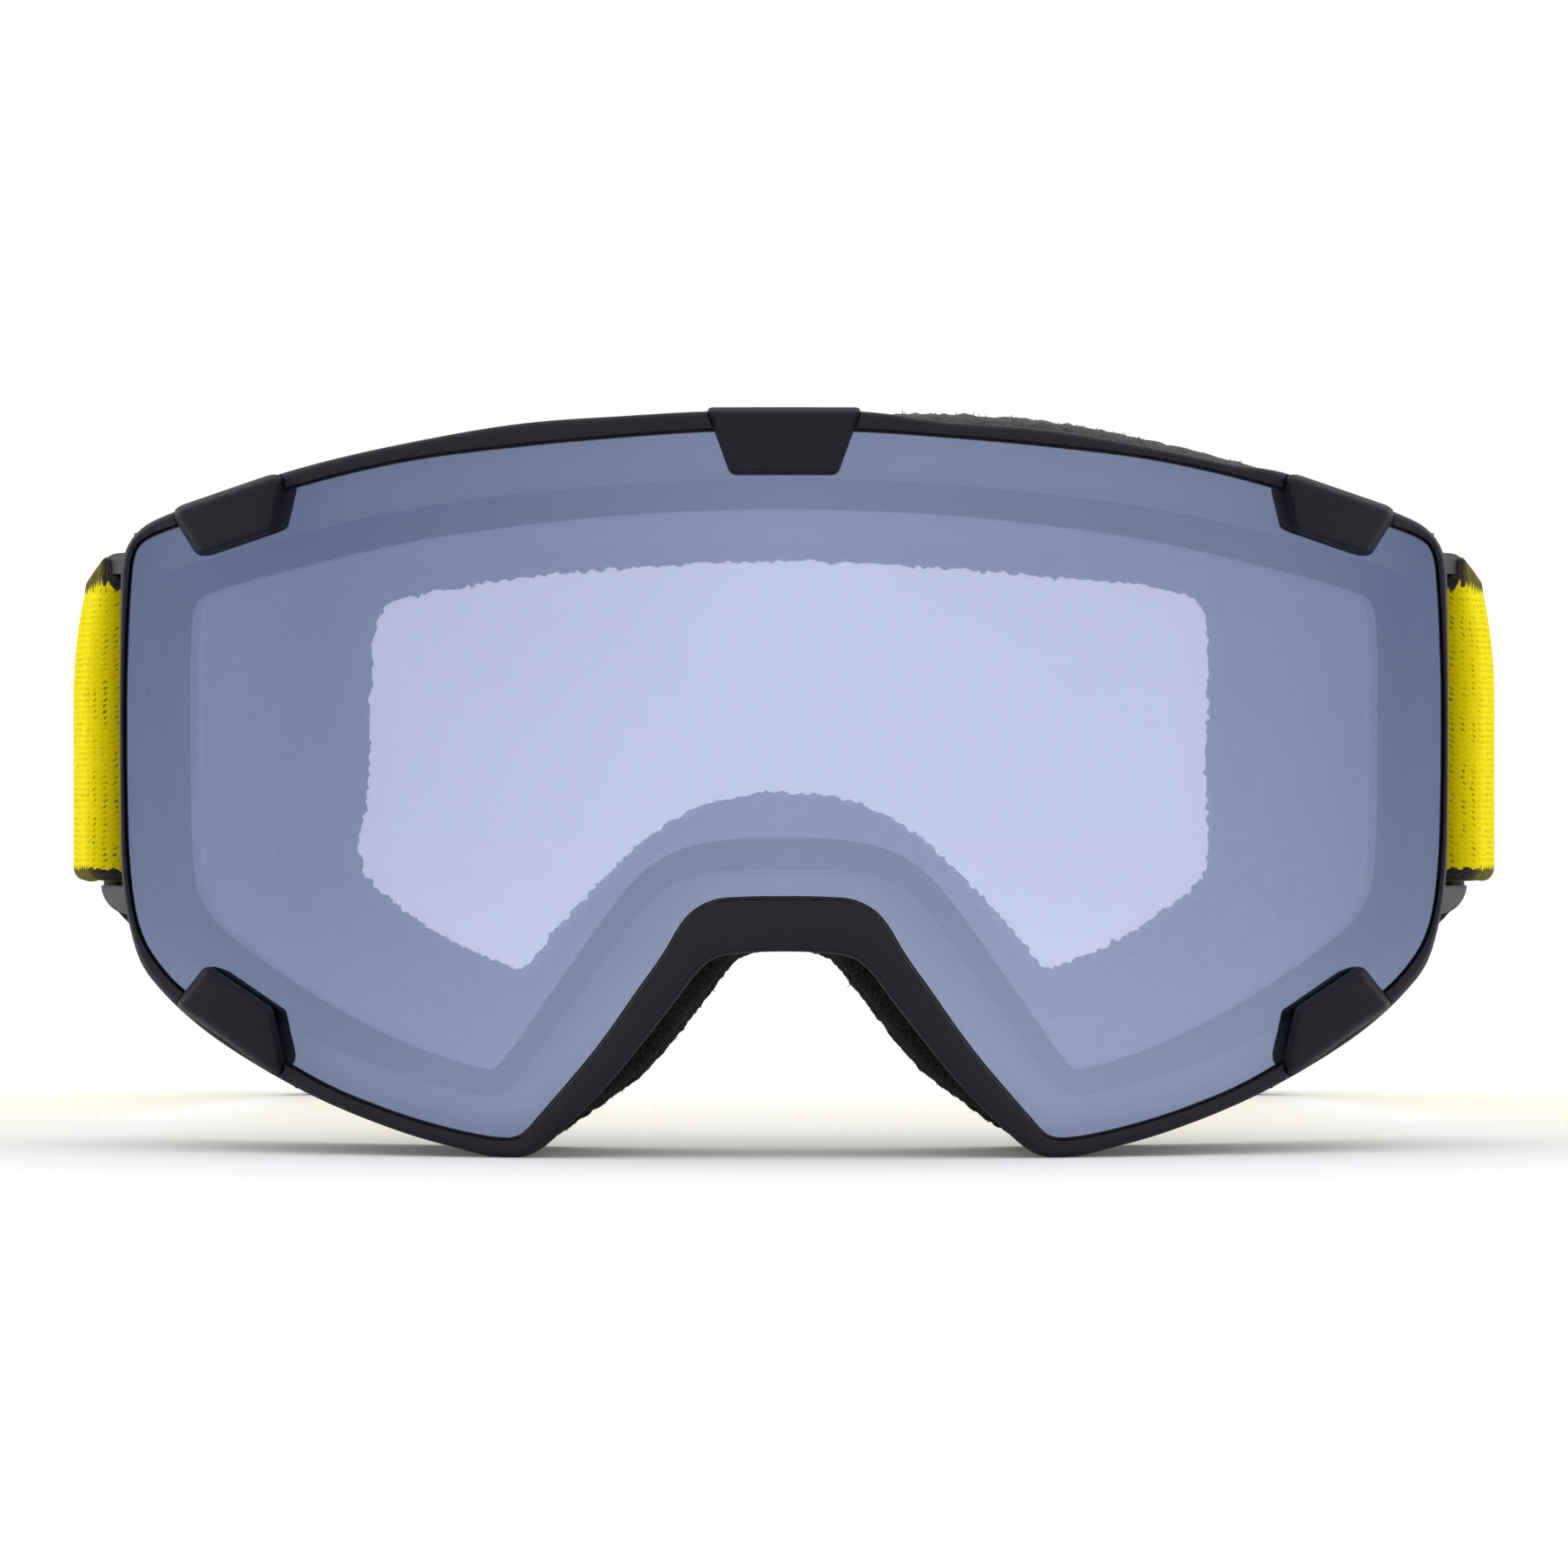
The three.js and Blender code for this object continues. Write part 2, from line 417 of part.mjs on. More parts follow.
put(root, "frame_shell", frameShell(), "frame");
put(root, "vent_foam_top", ventFoam(range(-57, 57, 14), topZ, -1, (x) => seatBackY(x) + 0.5, (x) => rearY(x) - REAR_FLANGE - 0.5), "foam");
for (const s of [-1, 1])
  put(root, s < 0 ? "vent_foam_lower_left" : "vent_foam_lower_right", ventFoam(range(s * 40.5, s * 66, 4), bottomZ, 1, (x) => seatBackY(x) + 0.5, (x) => rearY(x) - REAR_FLANGE - 0.5), "foam");
for (const [name, [d0, d1], mat] of [["face_foam_base", FOAM_BASE, "foam"], ["face_foam_soft", FOAM_SOFT, "foam"], ["face_foam_fleece", FOAM_FLEECE, "fleece"]])
  put(root, name, clampX(prismY(FO, 0, 120, W), FOAM_X).intersect(backBand(d0, d1)), mat);
for (const s of [-1, 1]) put(root, s < 0 ? "hinge_pin_left" : "hinge_pin_right", rodZ(s * PIN.x, PIN.y, PIN.r, PIN.z[0], PIN.z[1], 12), "steel");

const VENT = [0.6, 40.0];
put(lensUnit, "outer_lens", prismY(L, -6, 60).intersect(lensBand(...OUTER_LENS_R)).subtract(rodY(VENT[0], VENT[1], 0.4, -2, 4, 8)), "lens");
put(lensUnit, "lens_gasket", prismY(G, -6, 60, GO).intersect(lensBand(...GASKET_R)).subtract(rodY(VENT[0], VENT[1], 1.5, -2, 2.7, 12)), "gasket");
put(lensUnit, "inner_lens", prismY(G, -6, 60).intersect(lensBand(...INNER_LENS_R)), "inner");
put(lensUnit, "lens_breather", rodY(VENT[0], VENT[1], 1.2, 1.85, 2.3, 12), "grip");
for (const [name, pts] of Object.entries(clips)) put(lensUnit, name, prismY(pts, -10, 60).intersect(lensBand(...CLIP_R)), "clip");

for (const s of [-1, 1]) {
  const side = s < 0 ? "left" : "right";
  put(group, "outrigger_" + side, outrigger(s), "wing");
  put(group, "strap_" + side, strap(s), "strap");
  put(group, "slider_" + side, slider(s), "clip");
  put(group, "grip_strip_upper_" + side, gripStrip(s, 66), "grip");
  put(group, "grip_strip_lower_" + side, gripStrip(s, 45.4), "grip");
}
put(group, "rear_clip_hook", clipHook(-1), "clip");
put(group, "rear_clip_loop", clipLoop(1), "clip");

// The origin is the middle of the base: the whole object is centred in depth.
group.updateMatrixWorld(true);
const bounds = new THREE.Box3().setFromObject(group);
group.position.set(0, -(bounds.min.y + bounds.max.y) / 2, 0);

export default group;
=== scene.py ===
# Ski goggles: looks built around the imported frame. Local numbers are millimetres in the CAD's own
# layout (lens apex at y = 0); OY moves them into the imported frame.
import sys
import json
import math

import bmesh
import bpy
import numpy as np
from mathutils import Matrix, Vector, noise
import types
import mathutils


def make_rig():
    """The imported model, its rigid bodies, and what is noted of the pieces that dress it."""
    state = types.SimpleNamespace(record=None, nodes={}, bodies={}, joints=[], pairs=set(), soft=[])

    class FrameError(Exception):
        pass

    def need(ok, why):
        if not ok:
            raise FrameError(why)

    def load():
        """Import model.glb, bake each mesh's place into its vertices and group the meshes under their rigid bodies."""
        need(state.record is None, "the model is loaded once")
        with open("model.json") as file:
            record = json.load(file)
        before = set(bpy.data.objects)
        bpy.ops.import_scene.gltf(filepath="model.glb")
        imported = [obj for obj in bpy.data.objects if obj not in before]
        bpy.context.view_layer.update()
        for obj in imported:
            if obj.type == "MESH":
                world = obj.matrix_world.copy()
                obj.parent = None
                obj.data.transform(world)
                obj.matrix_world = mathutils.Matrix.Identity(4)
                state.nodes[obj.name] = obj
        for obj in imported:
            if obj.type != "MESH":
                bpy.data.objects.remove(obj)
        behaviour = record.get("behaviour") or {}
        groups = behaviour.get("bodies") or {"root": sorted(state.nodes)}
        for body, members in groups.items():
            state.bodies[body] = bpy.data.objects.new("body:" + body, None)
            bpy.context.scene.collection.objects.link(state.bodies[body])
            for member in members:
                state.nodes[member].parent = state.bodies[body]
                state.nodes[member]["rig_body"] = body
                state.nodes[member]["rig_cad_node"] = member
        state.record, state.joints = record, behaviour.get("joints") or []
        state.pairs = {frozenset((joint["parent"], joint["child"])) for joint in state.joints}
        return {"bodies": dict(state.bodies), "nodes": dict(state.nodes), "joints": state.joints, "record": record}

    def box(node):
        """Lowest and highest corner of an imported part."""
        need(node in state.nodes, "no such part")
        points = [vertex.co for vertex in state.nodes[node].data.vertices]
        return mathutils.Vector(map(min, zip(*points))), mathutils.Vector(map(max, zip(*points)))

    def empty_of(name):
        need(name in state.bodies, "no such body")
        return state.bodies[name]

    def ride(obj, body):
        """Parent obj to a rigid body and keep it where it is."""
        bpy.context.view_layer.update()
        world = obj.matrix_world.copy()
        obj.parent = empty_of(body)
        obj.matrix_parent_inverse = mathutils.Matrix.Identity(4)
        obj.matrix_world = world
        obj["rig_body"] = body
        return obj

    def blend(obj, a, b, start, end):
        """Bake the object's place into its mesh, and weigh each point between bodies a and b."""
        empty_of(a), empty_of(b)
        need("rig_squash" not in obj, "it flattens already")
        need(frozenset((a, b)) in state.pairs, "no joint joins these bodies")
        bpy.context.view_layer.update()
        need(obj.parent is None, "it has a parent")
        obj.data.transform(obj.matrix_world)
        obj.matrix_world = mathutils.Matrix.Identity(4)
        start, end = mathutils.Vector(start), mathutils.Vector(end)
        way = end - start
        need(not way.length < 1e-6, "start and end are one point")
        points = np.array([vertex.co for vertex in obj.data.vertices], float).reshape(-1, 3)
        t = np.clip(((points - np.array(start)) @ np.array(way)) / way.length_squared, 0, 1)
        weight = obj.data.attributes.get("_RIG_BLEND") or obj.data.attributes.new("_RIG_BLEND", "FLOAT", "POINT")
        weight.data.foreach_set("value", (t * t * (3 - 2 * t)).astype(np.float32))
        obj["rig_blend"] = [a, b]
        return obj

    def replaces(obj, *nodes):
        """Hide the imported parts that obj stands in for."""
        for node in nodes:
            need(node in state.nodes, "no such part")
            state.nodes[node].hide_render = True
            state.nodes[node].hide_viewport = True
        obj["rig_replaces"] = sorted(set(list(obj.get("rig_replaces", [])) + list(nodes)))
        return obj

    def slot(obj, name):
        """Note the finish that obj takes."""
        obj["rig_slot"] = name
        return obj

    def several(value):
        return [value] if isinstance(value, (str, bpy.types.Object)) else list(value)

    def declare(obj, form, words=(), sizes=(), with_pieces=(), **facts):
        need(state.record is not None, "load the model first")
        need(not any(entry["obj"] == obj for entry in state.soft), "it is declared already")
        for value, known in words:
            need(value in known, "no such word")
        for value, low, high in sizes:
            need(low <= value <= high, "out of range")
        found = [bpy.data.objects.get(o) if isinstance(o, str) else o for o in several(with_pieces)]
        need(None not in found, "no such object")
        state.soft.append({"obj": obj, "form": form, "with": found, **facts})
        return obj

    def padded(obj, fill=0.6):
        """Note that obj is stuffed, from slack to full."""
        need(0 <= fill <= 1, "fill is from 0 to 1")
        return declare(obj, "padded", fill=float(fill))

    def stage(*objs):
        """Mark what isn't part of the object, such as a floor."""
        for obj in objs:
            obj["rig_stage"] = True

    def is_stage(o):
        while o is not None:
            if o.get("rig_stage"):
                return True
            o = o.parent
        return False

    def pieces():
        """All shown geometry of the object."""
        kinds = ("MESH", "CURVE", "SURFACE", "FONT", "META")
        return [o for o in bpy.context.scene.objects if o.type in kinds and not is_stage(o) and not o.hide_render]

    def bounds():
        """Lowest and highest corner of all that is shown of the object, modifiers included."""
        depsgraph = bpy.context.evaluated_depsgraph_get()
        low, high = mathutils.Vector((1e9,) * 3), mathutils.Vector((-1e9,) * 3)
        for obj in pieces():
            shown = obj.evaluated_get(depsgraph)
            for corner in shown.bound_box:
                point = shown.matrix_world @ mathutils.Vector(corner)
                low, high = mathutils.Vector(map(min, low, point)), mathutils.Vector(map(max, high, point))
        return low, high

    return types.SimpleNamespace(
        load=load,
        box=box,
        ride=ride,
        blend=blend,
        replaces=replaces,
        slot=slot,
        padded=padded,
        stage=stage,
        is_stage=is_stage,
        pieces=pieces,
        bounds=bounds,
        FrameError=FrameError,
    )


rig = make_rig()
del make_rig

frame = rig.load()
CAD_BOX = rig.bounds()
scene = bpy.context.scene
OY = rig.box("outer_lens")[0][1] * 1000 - 0.2

# ------------------------------------------------------------------ dimensions (mm)
AXIS_Y = 128.0
BACK_R, BACK_Y = 105.0, 22.0
SIDE_X = 82.9
PIN = (85.4, 49.5)
BAR = (90.4, 58.0)
STRAP_T = 1.6
STRAP_Z = (35.3, 76.1)
TAIL_X, TAIL_Y, TAIL_SLOPE = 93.6, 98.0, 0.1066
END_BAR_Y, END_BAR_R = 250.0, 1.5

RIM = [
    (0, 96.64), (9.91, 96.54), (20.23, 96.03), (33.99, 95.14), (47.65, 93.06), (61.51, 90.24),
    (73.28, 86.95), (80.12, 84.59), (84.73, 82.64), (86.57, 80.96), (87.56, 79.14), (88.05, 76.96),
    (88.17, 72.93), (88.3, 62), (88.3, 52.32), (88.23, 44.14), (88.05, 37.23), (87.56, 32.63),
    (86.82, 29.18), (85.59, 25.29), (84.37, 23.24), (82.9, 21.55), (80.12, 18.85), (75.67, 15.39),
    (67.96, 10.75), (59.42, 6.6), (49.02, 2.82), (42.05, 1.0), (38.2, 0.1), (33.8, 0.1),
    (31.61, 1.01), (28.22, 3.96), (22.82, 9.38), (17.98, 15.24), (13.16, 21.52), (11.48, 23.77),
    (9.68, 25.45), (8.12, 26.12), (4.5, 26.6), (0, 26.74),
]
LENS = [
    (0, 94.1), (9.92, 94.01), (20.25, 93.38), (34.02, 92.26), (49.07, 90.52), (64.14, 87.26),
    (80.08, 82.45), (83.61, 81.27), (85.44, 80.16), (86.3, 78.45), (86.67, 75.81), (87.29, 64.88),
    (87.41, 55), (87.29, 46.44), (87.04, 38.95), (86.18, 31.94), (85.44, 29.18), (84.34, 26.78),
    (82.51, 24.28), (79.84, 21.58), (69.8, 14.78), (60.4, 9.38), (53.79, 6.66), (46.66, 4.39),
    (39.69, 2.79), (36.85, 2.43), (34.92, 2.51), (33.56, 3.2), (32.2, 4.68), (24.41, 13.83),
    (18.78, 21.71), (15.53, 26.31), (12.95, 30.58), (11.49, 32.04), (9.92, 32.94), (8.24, 33.44),
    (4.76, 33.67), (0, 33.73),
]
GASKET_OUT = [
    (0, 87.99), (20.27, 87.26), (34.06, 86.12), (49.13, 84.25), (64.23, 81.06), (80.69, 76.77),
    (83.38, 75.44), (84.23, 72.93), (84.72, 55), (84.48, 38.96), (83.99, 33.78), (83.01, 30.34),
    (81.18, 27.49), (77.07, 23.99), (62.82, 15.54), (48.9, 10.07), (39.06, 7.93), (37.24, 7.95),
    (35.87, 8.75), (27.04, 20.41), (18.81, 31.67), (15.55, 34.82), (12.06, 36.39), (8.13, 37.13),
    (0, 37.3),
]
GASKET_IN = [
    (0, 84.06), (20.27, 83.44), (34.06, 82.29), (49.13, 80.4), (64.23, 77.42), (79.24, 73.76),
    (81.42, 72.65), (82.28, 70.59), (82.64, 55), (82.4, 40.12), (81.91, 35.52), (80.81, 32.66),
    (78.88, 30.16), (74.66, 27.0), (62.24, 19.41), (49.48, 13.68), (39.97, 11.08), (38.38, 11.09),
    (37.24, 11.78), (29.52, 22.31), (20.5, 34.7), (16.89, 38.07), (12.62, 40.21), (7.01, 41.22),
    (0, 41.45),
]
SEAT = [
    (0, 79.36), (20.35, 79.18), (34.19, 78.69), (55.95, 78.0), (65.46, 76.19), (73.58, 74.59),
    (75.87, 73.94), (76.6, 72.92), (76.96, 60), (76.96, 38.96), (76.6, 29.18), (75.39, 27.47),
    (62.51, 19.51), (50.26, 14.44), (39.9, 12.18), (37.16, 11.98), (36.02, 12.33), (29.64, 20.96),
    (22.84, 30.36), (19.67, 34.31), (16.06, 37.47), (12.11, 39.95), (8.16, 41.76), (0, 42.55),
]
FACE = [
    (0, 78.35), (14.18, 77.91), (29.3, 76.83), (40.45, 75.4), (49.34, 73.74), (51.73, 73.07),
    (53.29, 71.68), (54.13, 69.82), (55.21, 59.29), (55.82, 48.75), (57.02, 38.79), (55.58, 35.52),
    (46.96, 28.92), (39.86, 25.36), (36.91, 24.22), (35.15, 23.76), (33.86, 24.59), (29.3, 30.18),
    (20.56, 38.9), (16.5, 42.38), (13.02, 44.35), (8.96, 45.97), (0, 47.13),
]
FOAM = [
    (0, 96.1), (20.23, 95.5), (33.99, 94.6), (47.65, 92.5), (61.51, 89.7), (73.28, 86.4),
    (80.12, 84.0), (84.5, 82.0), (86.2, 80.5), (87.0, 79.0), (87.5, 76.9), (87.8, 62),
    (87.7, 44.14), (87.5, 37.23), (86.3, 29.3), (85.0, 25.6), (83.8, 23.6), (79.8, 19.4),
    (67.7, 11.3), (59.2, 7.2), (48.9, 3.4), (42.0, 1.6), (38.2, 0.6), (33.8, 0.6),
    (31.0, 1.9), (27.0, 4.5), (23.35, 7.2), (20.56, 9.2), (17.54, 12.0), (13.6, 16.7),
    (10.0, 21.2), (6.53, 24.9), (0, 25.7),
]
TOP_CLIP = ([(-10.1, 97.0), (10.1, 97.0), (6.95, 88.25), (-6.95, 88.25)], [0.7, 0.7, 1.3, 1.3])
UPPER_CLIP = ([(65.0, 89.65), (81.34, 84.62), (77.15, 78.2), (66.7, 81.45)], [1.8, 1.7, 1.5, 1.6])
LOWER_CLIP = ([(80.5, 19.2), (64.7, 8.74), (66.95, 19.1), (75.99, 24.75)], [1.2, 2.4, 1.6, 1.5])

# ------------------------------------------------------------------ curves
def crom(points, steps=16):
    """Centripetal Catmull-Rom through an open list of 2-D points, symmetric about x = 0 at both ends."""
    p = [np.array(q, float) for q in points]
    first, last = p[1] * (-1, 1), p[-2] * (-1, 1)
    q = [first, *p, last]
    out = []
    for i in range(1, len(q) - 2):
        p0, p1, p2, p3 = q[i - 1], q[i], q[i + 1], q[i + 2]
        t0 = 0.0
        t1 = t0 + math.sqrt(np.linalg.norm(p1 - p0)) + 1e-9
        t2 = t1 + math.sqrt(np.linalg.norm(p2 - p1)) + 1e-9
        t3 = t2 + math.sqrt(np.linalg.norm(p3 - p2)) + 1e-9
        for k in range(steps):
            t = t1 + (t2 - t1) * k / steps
            a1 = (t1 - t) / (t1 - t0) * p0 + (t - t0) / (t1 - t0) * p1
            a2 = (t2 - t) / (t2 - t1) * p1 + (t - t1) / (t2 - t1) * p2
            a3 = (t3 - t) / (t3 - t2) * p2 + (t - t2) / (t3 - t2) * p3
            b1 = (t2 - t) / (t2 - t0) * a1 + (t - t0) / (t2 - t0) * a2
            b2 = (t3 - t) / (t3 - t1) * a2 + (t - t1) / (t3 - t1) * a3
            out.append((t2 - t) / (t2 - t1) * b1 + (t - t1) / (t2 - t1) * b2)
    out.append(p[-1])
    return np.array(out)


def resample(line, n):
    s = np.concatenate([[0], np.cumsum(np.linalg.norm(np.diff(line, axis=0), axis=1))])
    t = np.linspace(0, s[-1], n + 1)
    return np.stack([np.interp(t, s, line[:, k]) for k in range(line.shape[1])], 1)


MARKS = {  # corner points that keep the outlines in step: upper corner, lower corner, lobe, nose shoulder
    "RIM": ((86.57, 80.96), (84.37, 23.24), (33.8, 0.1), (9.68, 25.45)),
    "LENS": ((85.44, 80.16), (82.51, 24.28), (34.92, 2.51), (11.49, 32.04)),
    "GASKET_OUT": ((83.38, 75.44), (81.18, 27.49), (37.24, 7.95), (15.55, 34.82)),
    "GASKET_IN": ((81.42, 72.65), (78.88, 30.16), (38.38, 11.09), (16.89, 38.07)),
    "SEAT": ((75.87, 73.94), (75.39, 27.47), (37.16, 11.98), (16.06, 37.47)),
    "FACE": ((53.29, 71.68), (57.02, 38.79), (35.15, 23.76), (16.5, 42.38)),
    "FOAM": ((86.2, 80.5), (83.8, 23.6), (33.8, 0.6), (10.0, 21.2)),
}
COUNTS = (96, 56, 76, 60, 22)


def half_curve(points, marks, scale=1.0):
    dense = crom(points)
    idx = [0]
    for m in marks:
        d = [math.hypot(p[0] - m[0], p[1] - m[1]) for p in points]
        idx.append(16 * int(np.argmin(d)))
    idx.append(len(dense) - 1)
    out = []
    for k, (a, b) in enumerate(zip(idx, idx[1:])):
        seg = resample(dense[a : b + 1], max(4, int(COUNTS[k] * scale)))
        out.append(seg[:-1] if k < len(COUNTS) - 1 else seg)
    return np.concatenate(out)


def loop_of(half):
    back = half[1:-1][::-1] * (-1, 1)
    return np.concatenate([half, back])


def normals(loop):
    t = np.roll(loop, -1, 0) - np.roll(loop, 1, 0)
    t /= np.linalg.norm(t, axis=1)[:, None] + 1e-12
    return np.stack([-t[:, 1], t[:, 0]], 1)


def grow(loop, d):
    return loop + normals(loop) * (d if np.isscalar(d) else np.asarray(d)[:, None])


CURVES = {k: loop_of(half_curve(globals()[k], MARKS[k])) for k in MARKS}
C_RIM, C_LENS, C_GO, C_GI = CURVES["RIM"], CURVES["LENS"], CURVES["GASKET_OUT"], CURVES["GASKET_IN"]
C_SEAT, C_FACE, C_FOAM = CURVES["SEAT"], CURVES["FACE"], CURVES["FOAM"]
M = len(C_RIM)


def soft_clip(loop, limit, k=1.6):
    x = np.abs(loop[:, 0])
    h = np.clip(0.5 + 0.5 * (limit - x) / k, 0, 1)
    y = limit * (1 - h) + x * h - k * h * (1 - h)
    return np.stack([np.sign(loop[:, 0]) * np.minimum(y, x), loop[:, 1]], 1)


def on_lens(loop, r):
    x = loop[:, 0]
    r = np.broadcast_to(r, x.shape)
    return np.stack([x, AXIS_Y - np.sqrt(np.maximum(r * r - x * x, 1)), loop[:, 1]], 1)


def on_back(loop, d):
    x = loop[:, 0]
    return np.stack([x, BACK_Y + BACK_R + d - np.sqrt(BACK_R ** 2 - x * x), loop[:, 1]], 1)


def to_world(v):
    v = np.asarray(v, float)
    return np.stack([v[:, 0], v[:, 1] + OY, v[:, 2]], 1) / 1000


# ------------------------------------------------------------------ mesh helpers
def new_object(name, verts, faces, world=False, smooth=True, angle=None):
    me = bpy.data.meshes.new(name)
    me.from_pydata([tuple(v) for v in (verts if world else to_world(verts))], [], [tuple(int(i) for i in f) for f in faces])
    me.update()
    bm = bmesh.new()
    bm.from_mesh(me)
    bmesh.ops.remove_doubles(bm, verts=bm.verts, dist=2e-6)
    bmesh.ops.recalc_face_normals(bm, faces=bm.faces)
    if bm.calc_volume(signed=True) < 0:
        bmesh.ops.reverse_faces(bm, faces=bm.faces)
    bm.to_mesh(me)
    bm.free()
    me.polygons.foreach_set("use_smooth", [smooth] * len(me.polygons))
    if angle:
        me.set_sharp_from_angle(angle=math.radians(angle))
    ob = bpy.data.objects.new(name, me)
    scene.collection.objects.link(ob)
    return ob


def ring_faces(k, m, closed=True, offset=0):
    out = []
    for a in range(k if closed else k - 1):
        b = (a + 1) % k
        for i in range(m):
            j = (i + 1) % m
            out.append((offset + a * m + i, offset + a * m + j, offset + b * m + j, offset + b * m + i))
    return out


def ring_object(name, rings, angle=None):
    v = np.concatenate(rings)
    return new_object(name, v, ring_faces(len(rings), len(rings[0])), angle=angle)


def evaluated(ob):
    """Applies the object's modifiers and returns it with the plain mesh."""
    dg = bpy.context.evaluated_depsgraph_get()
    dg.update()
    me = bpy.data.meshes.new_from_object(ob.evaluated_get(dg), depsgraph=dg)
    ob.modifiers.clear()
    old = ob.data
    ob.data = me
    bpy.data.meshes.remove(old)
    return ob


def boolean(ob, others, op):
    for o in others:
        m = ob.modifiers.new("bool", "BOOLEAN")
        m.operation = op
        m.solver = "EXACT"
        m.object = o
    bpy.context.view_layer.update()
    evaluated(ob)
    for o in others:
        me = o.data
        bpy.data.objects.remove(o)
        bpy.data.meshes.remove(me)
    return ob


def bevel(ob, width_mm, segments=3, angle=35):
    m = ob.modifiers.new("bevel", "BEVEL")
    m.width = width_mm / 1000
    m.segments = segments
    m.limit_method = "ANGLE"
    m.angle_limit = math.radians(angle)
    m.harden_normals = False
    m.use_clamp_overlap = True
    return evaluated(ob)


def finish_mesh(ob, angle=40):
    ob.data.polygons.foreach_set("use_smooth", [True] * len(ob.data.polygons))
    ob.data.set_sharp_from_angle(angle=math.radians(angle))
    return ob


def clean(ob, dist=3e-6):
    bm = bmesh.new()
    bm.from_mesh(ob.data)
    bmesh.ops.remove_doubles(bm, verts=bm.verts, dist=dist)
    bmesh.ops.dissolve_degenerate(bm, edges=bm.edges, dist=1e-6)
    bm.to_mesh(ob.data)
    bm.free()
    return ob


def prism(name, pts, z0, z1, axis="z", world=False):
    """A closed prism from a 2-D polygon: axis z uses (x, y), axis y uses (x, z), axis x uses (y, z)."""
    n = len(pts)
    lo, hi = [], []
    for a, b in pts:
        if axis == "z":
            lo.append((a, b, z0)); hi.append((a, b, z1))
        elif axis == "y":
            lo.append((a, z0, b)); hi.append((a, z1, b))
        else:
            lo.append((z0, a, b)); hi.append((z1, a, b))
    faces = [tuple(range(n)), tuple(range(2 * n - 1, n - 1, -1))] + [(i, (i + 1) % n, n + (i + 1) % n, n + i) for i in range(n)]
    return new_object(name, np.array(lo + hi, float), faces, smooth=False)


def cyl(name, x, y, r, z0, z1, n=40, dome=0.0):
    """A round bar along Z, with its ends rounded by dome."""
    rings = []
    prof = [(r - dome, z0), (r - dome * 0.45, z0 + dome * 0.12), (r - dome * 0.12, z0 + dome * 0.45), (r, z0 + dome)] if dome else [(r, z0)]
    top = [(a, z1 - (b - z0)) for a, b in reversed(prof)]
    for rr, z in prof + top:
        rings.append([(x + rr * math.cos(2 * math.pi * i / n), y + rr * math.sin(2 * math.pi * i / n), z) for i in range(n)])
    v = [p for ring in rings for p in ring]
    f = ring_faces(len(rings), n, closed=False)
    f.append(tuple(range(n)))
    f.append(tuple(range(len(v) - 1, len(v) - n - 1, -1)))
    return new_object(name, np.array(v), f, angle=50)


def fillet_poly(corners, inset, r, nside=8, ncorner=6):
    """A polygon with its edges moved in by inset and its corners rounded: the same number of points for any inset."""
    p = np.array(corners, float)
    area = 0.5 * np.sum(p[:, 0] * np.roll(p[:, 1], -1) - np.roll(p[:, 0], -1) * p[:, 1])
    if area < 0:
        p = p[::-1]
    n = len(p)
    e = np.roll(p, -1, 0) - p
    e /= np.linalg.norm(e, axis=1)[:, None]
    nrm = np.stack([-e[:, 1], e[:, 0]], 1)
    q = np.zeros_like(p)
    for i in range(n):
        a, b = nrm[i - 1], nrm[i]
        q[i] = p[i] + inset * (a + b) / (1 + a @ b)
    rr = np.full(n, float(r)) if np.isscalar(r) else np.array(r[::-1] if area < 0 else r, float)
    out = []
    le = np.linalg.norm(np.roll(q, -1, 0) - q, axis=1)
    arcs = []
    for i in range(n):
        din, dout = e[i - 1], e[i]
        turn = math.acos(max(-1, min(1, din @ dout)))
        rad = max(rr[i] - inset, 0.12)
        t = rad * math.tan(turn / 2)
        t = min(t, 0.45 * le[i - 1], 0.45 * le[i])
        a, b = q[i] - din * t, q[i] + dout * t
        pts = []
        for k in range(ncorner + 1):
            s = k / ncorner
            pts.append((1 - s) ** 2 * a + 2 * s * (1 - s) * q[i] + s * s * b)
        arcs.append(pts)
    for i in range(n):
        out.extend(arcs[i])
        a, b = arcs[i][-1], arcs[(i + 1) % n][0]
        for k in range(1, nside):
            out.append(a + (b - a) * k / nside)
    return np.array(out)


def fbm(p, scale, octaves=3, seed=0.0):
    v, amp, tot = 0.0, 1.0, 0.0
    q = Vector((p[0] / scale + seed, p[1] / scale + seed * 1.7, p[2] / scale - seed))
    for _ in range(octaves):
        v += amp * noise.noise(q)
        tot += amp
        q = q * 2.03
        amp *= 0.5
    return v / tot


def wobble(points, scale, amount, octaves=3, seed=0.0):
    return np.array([fbm(p, scale, octaves, seed) for p in points]) * amount


# ------------------------------------------------------------------ materials
def material(name):
    m = bpy.data.materials.new(name)
    m.use_nodes = True
    nt = m.node_tree
    nt.nodes.clear()
    out = nt.nodes.new("ShaderNodeOutputMaterial")
    return m, nt, out


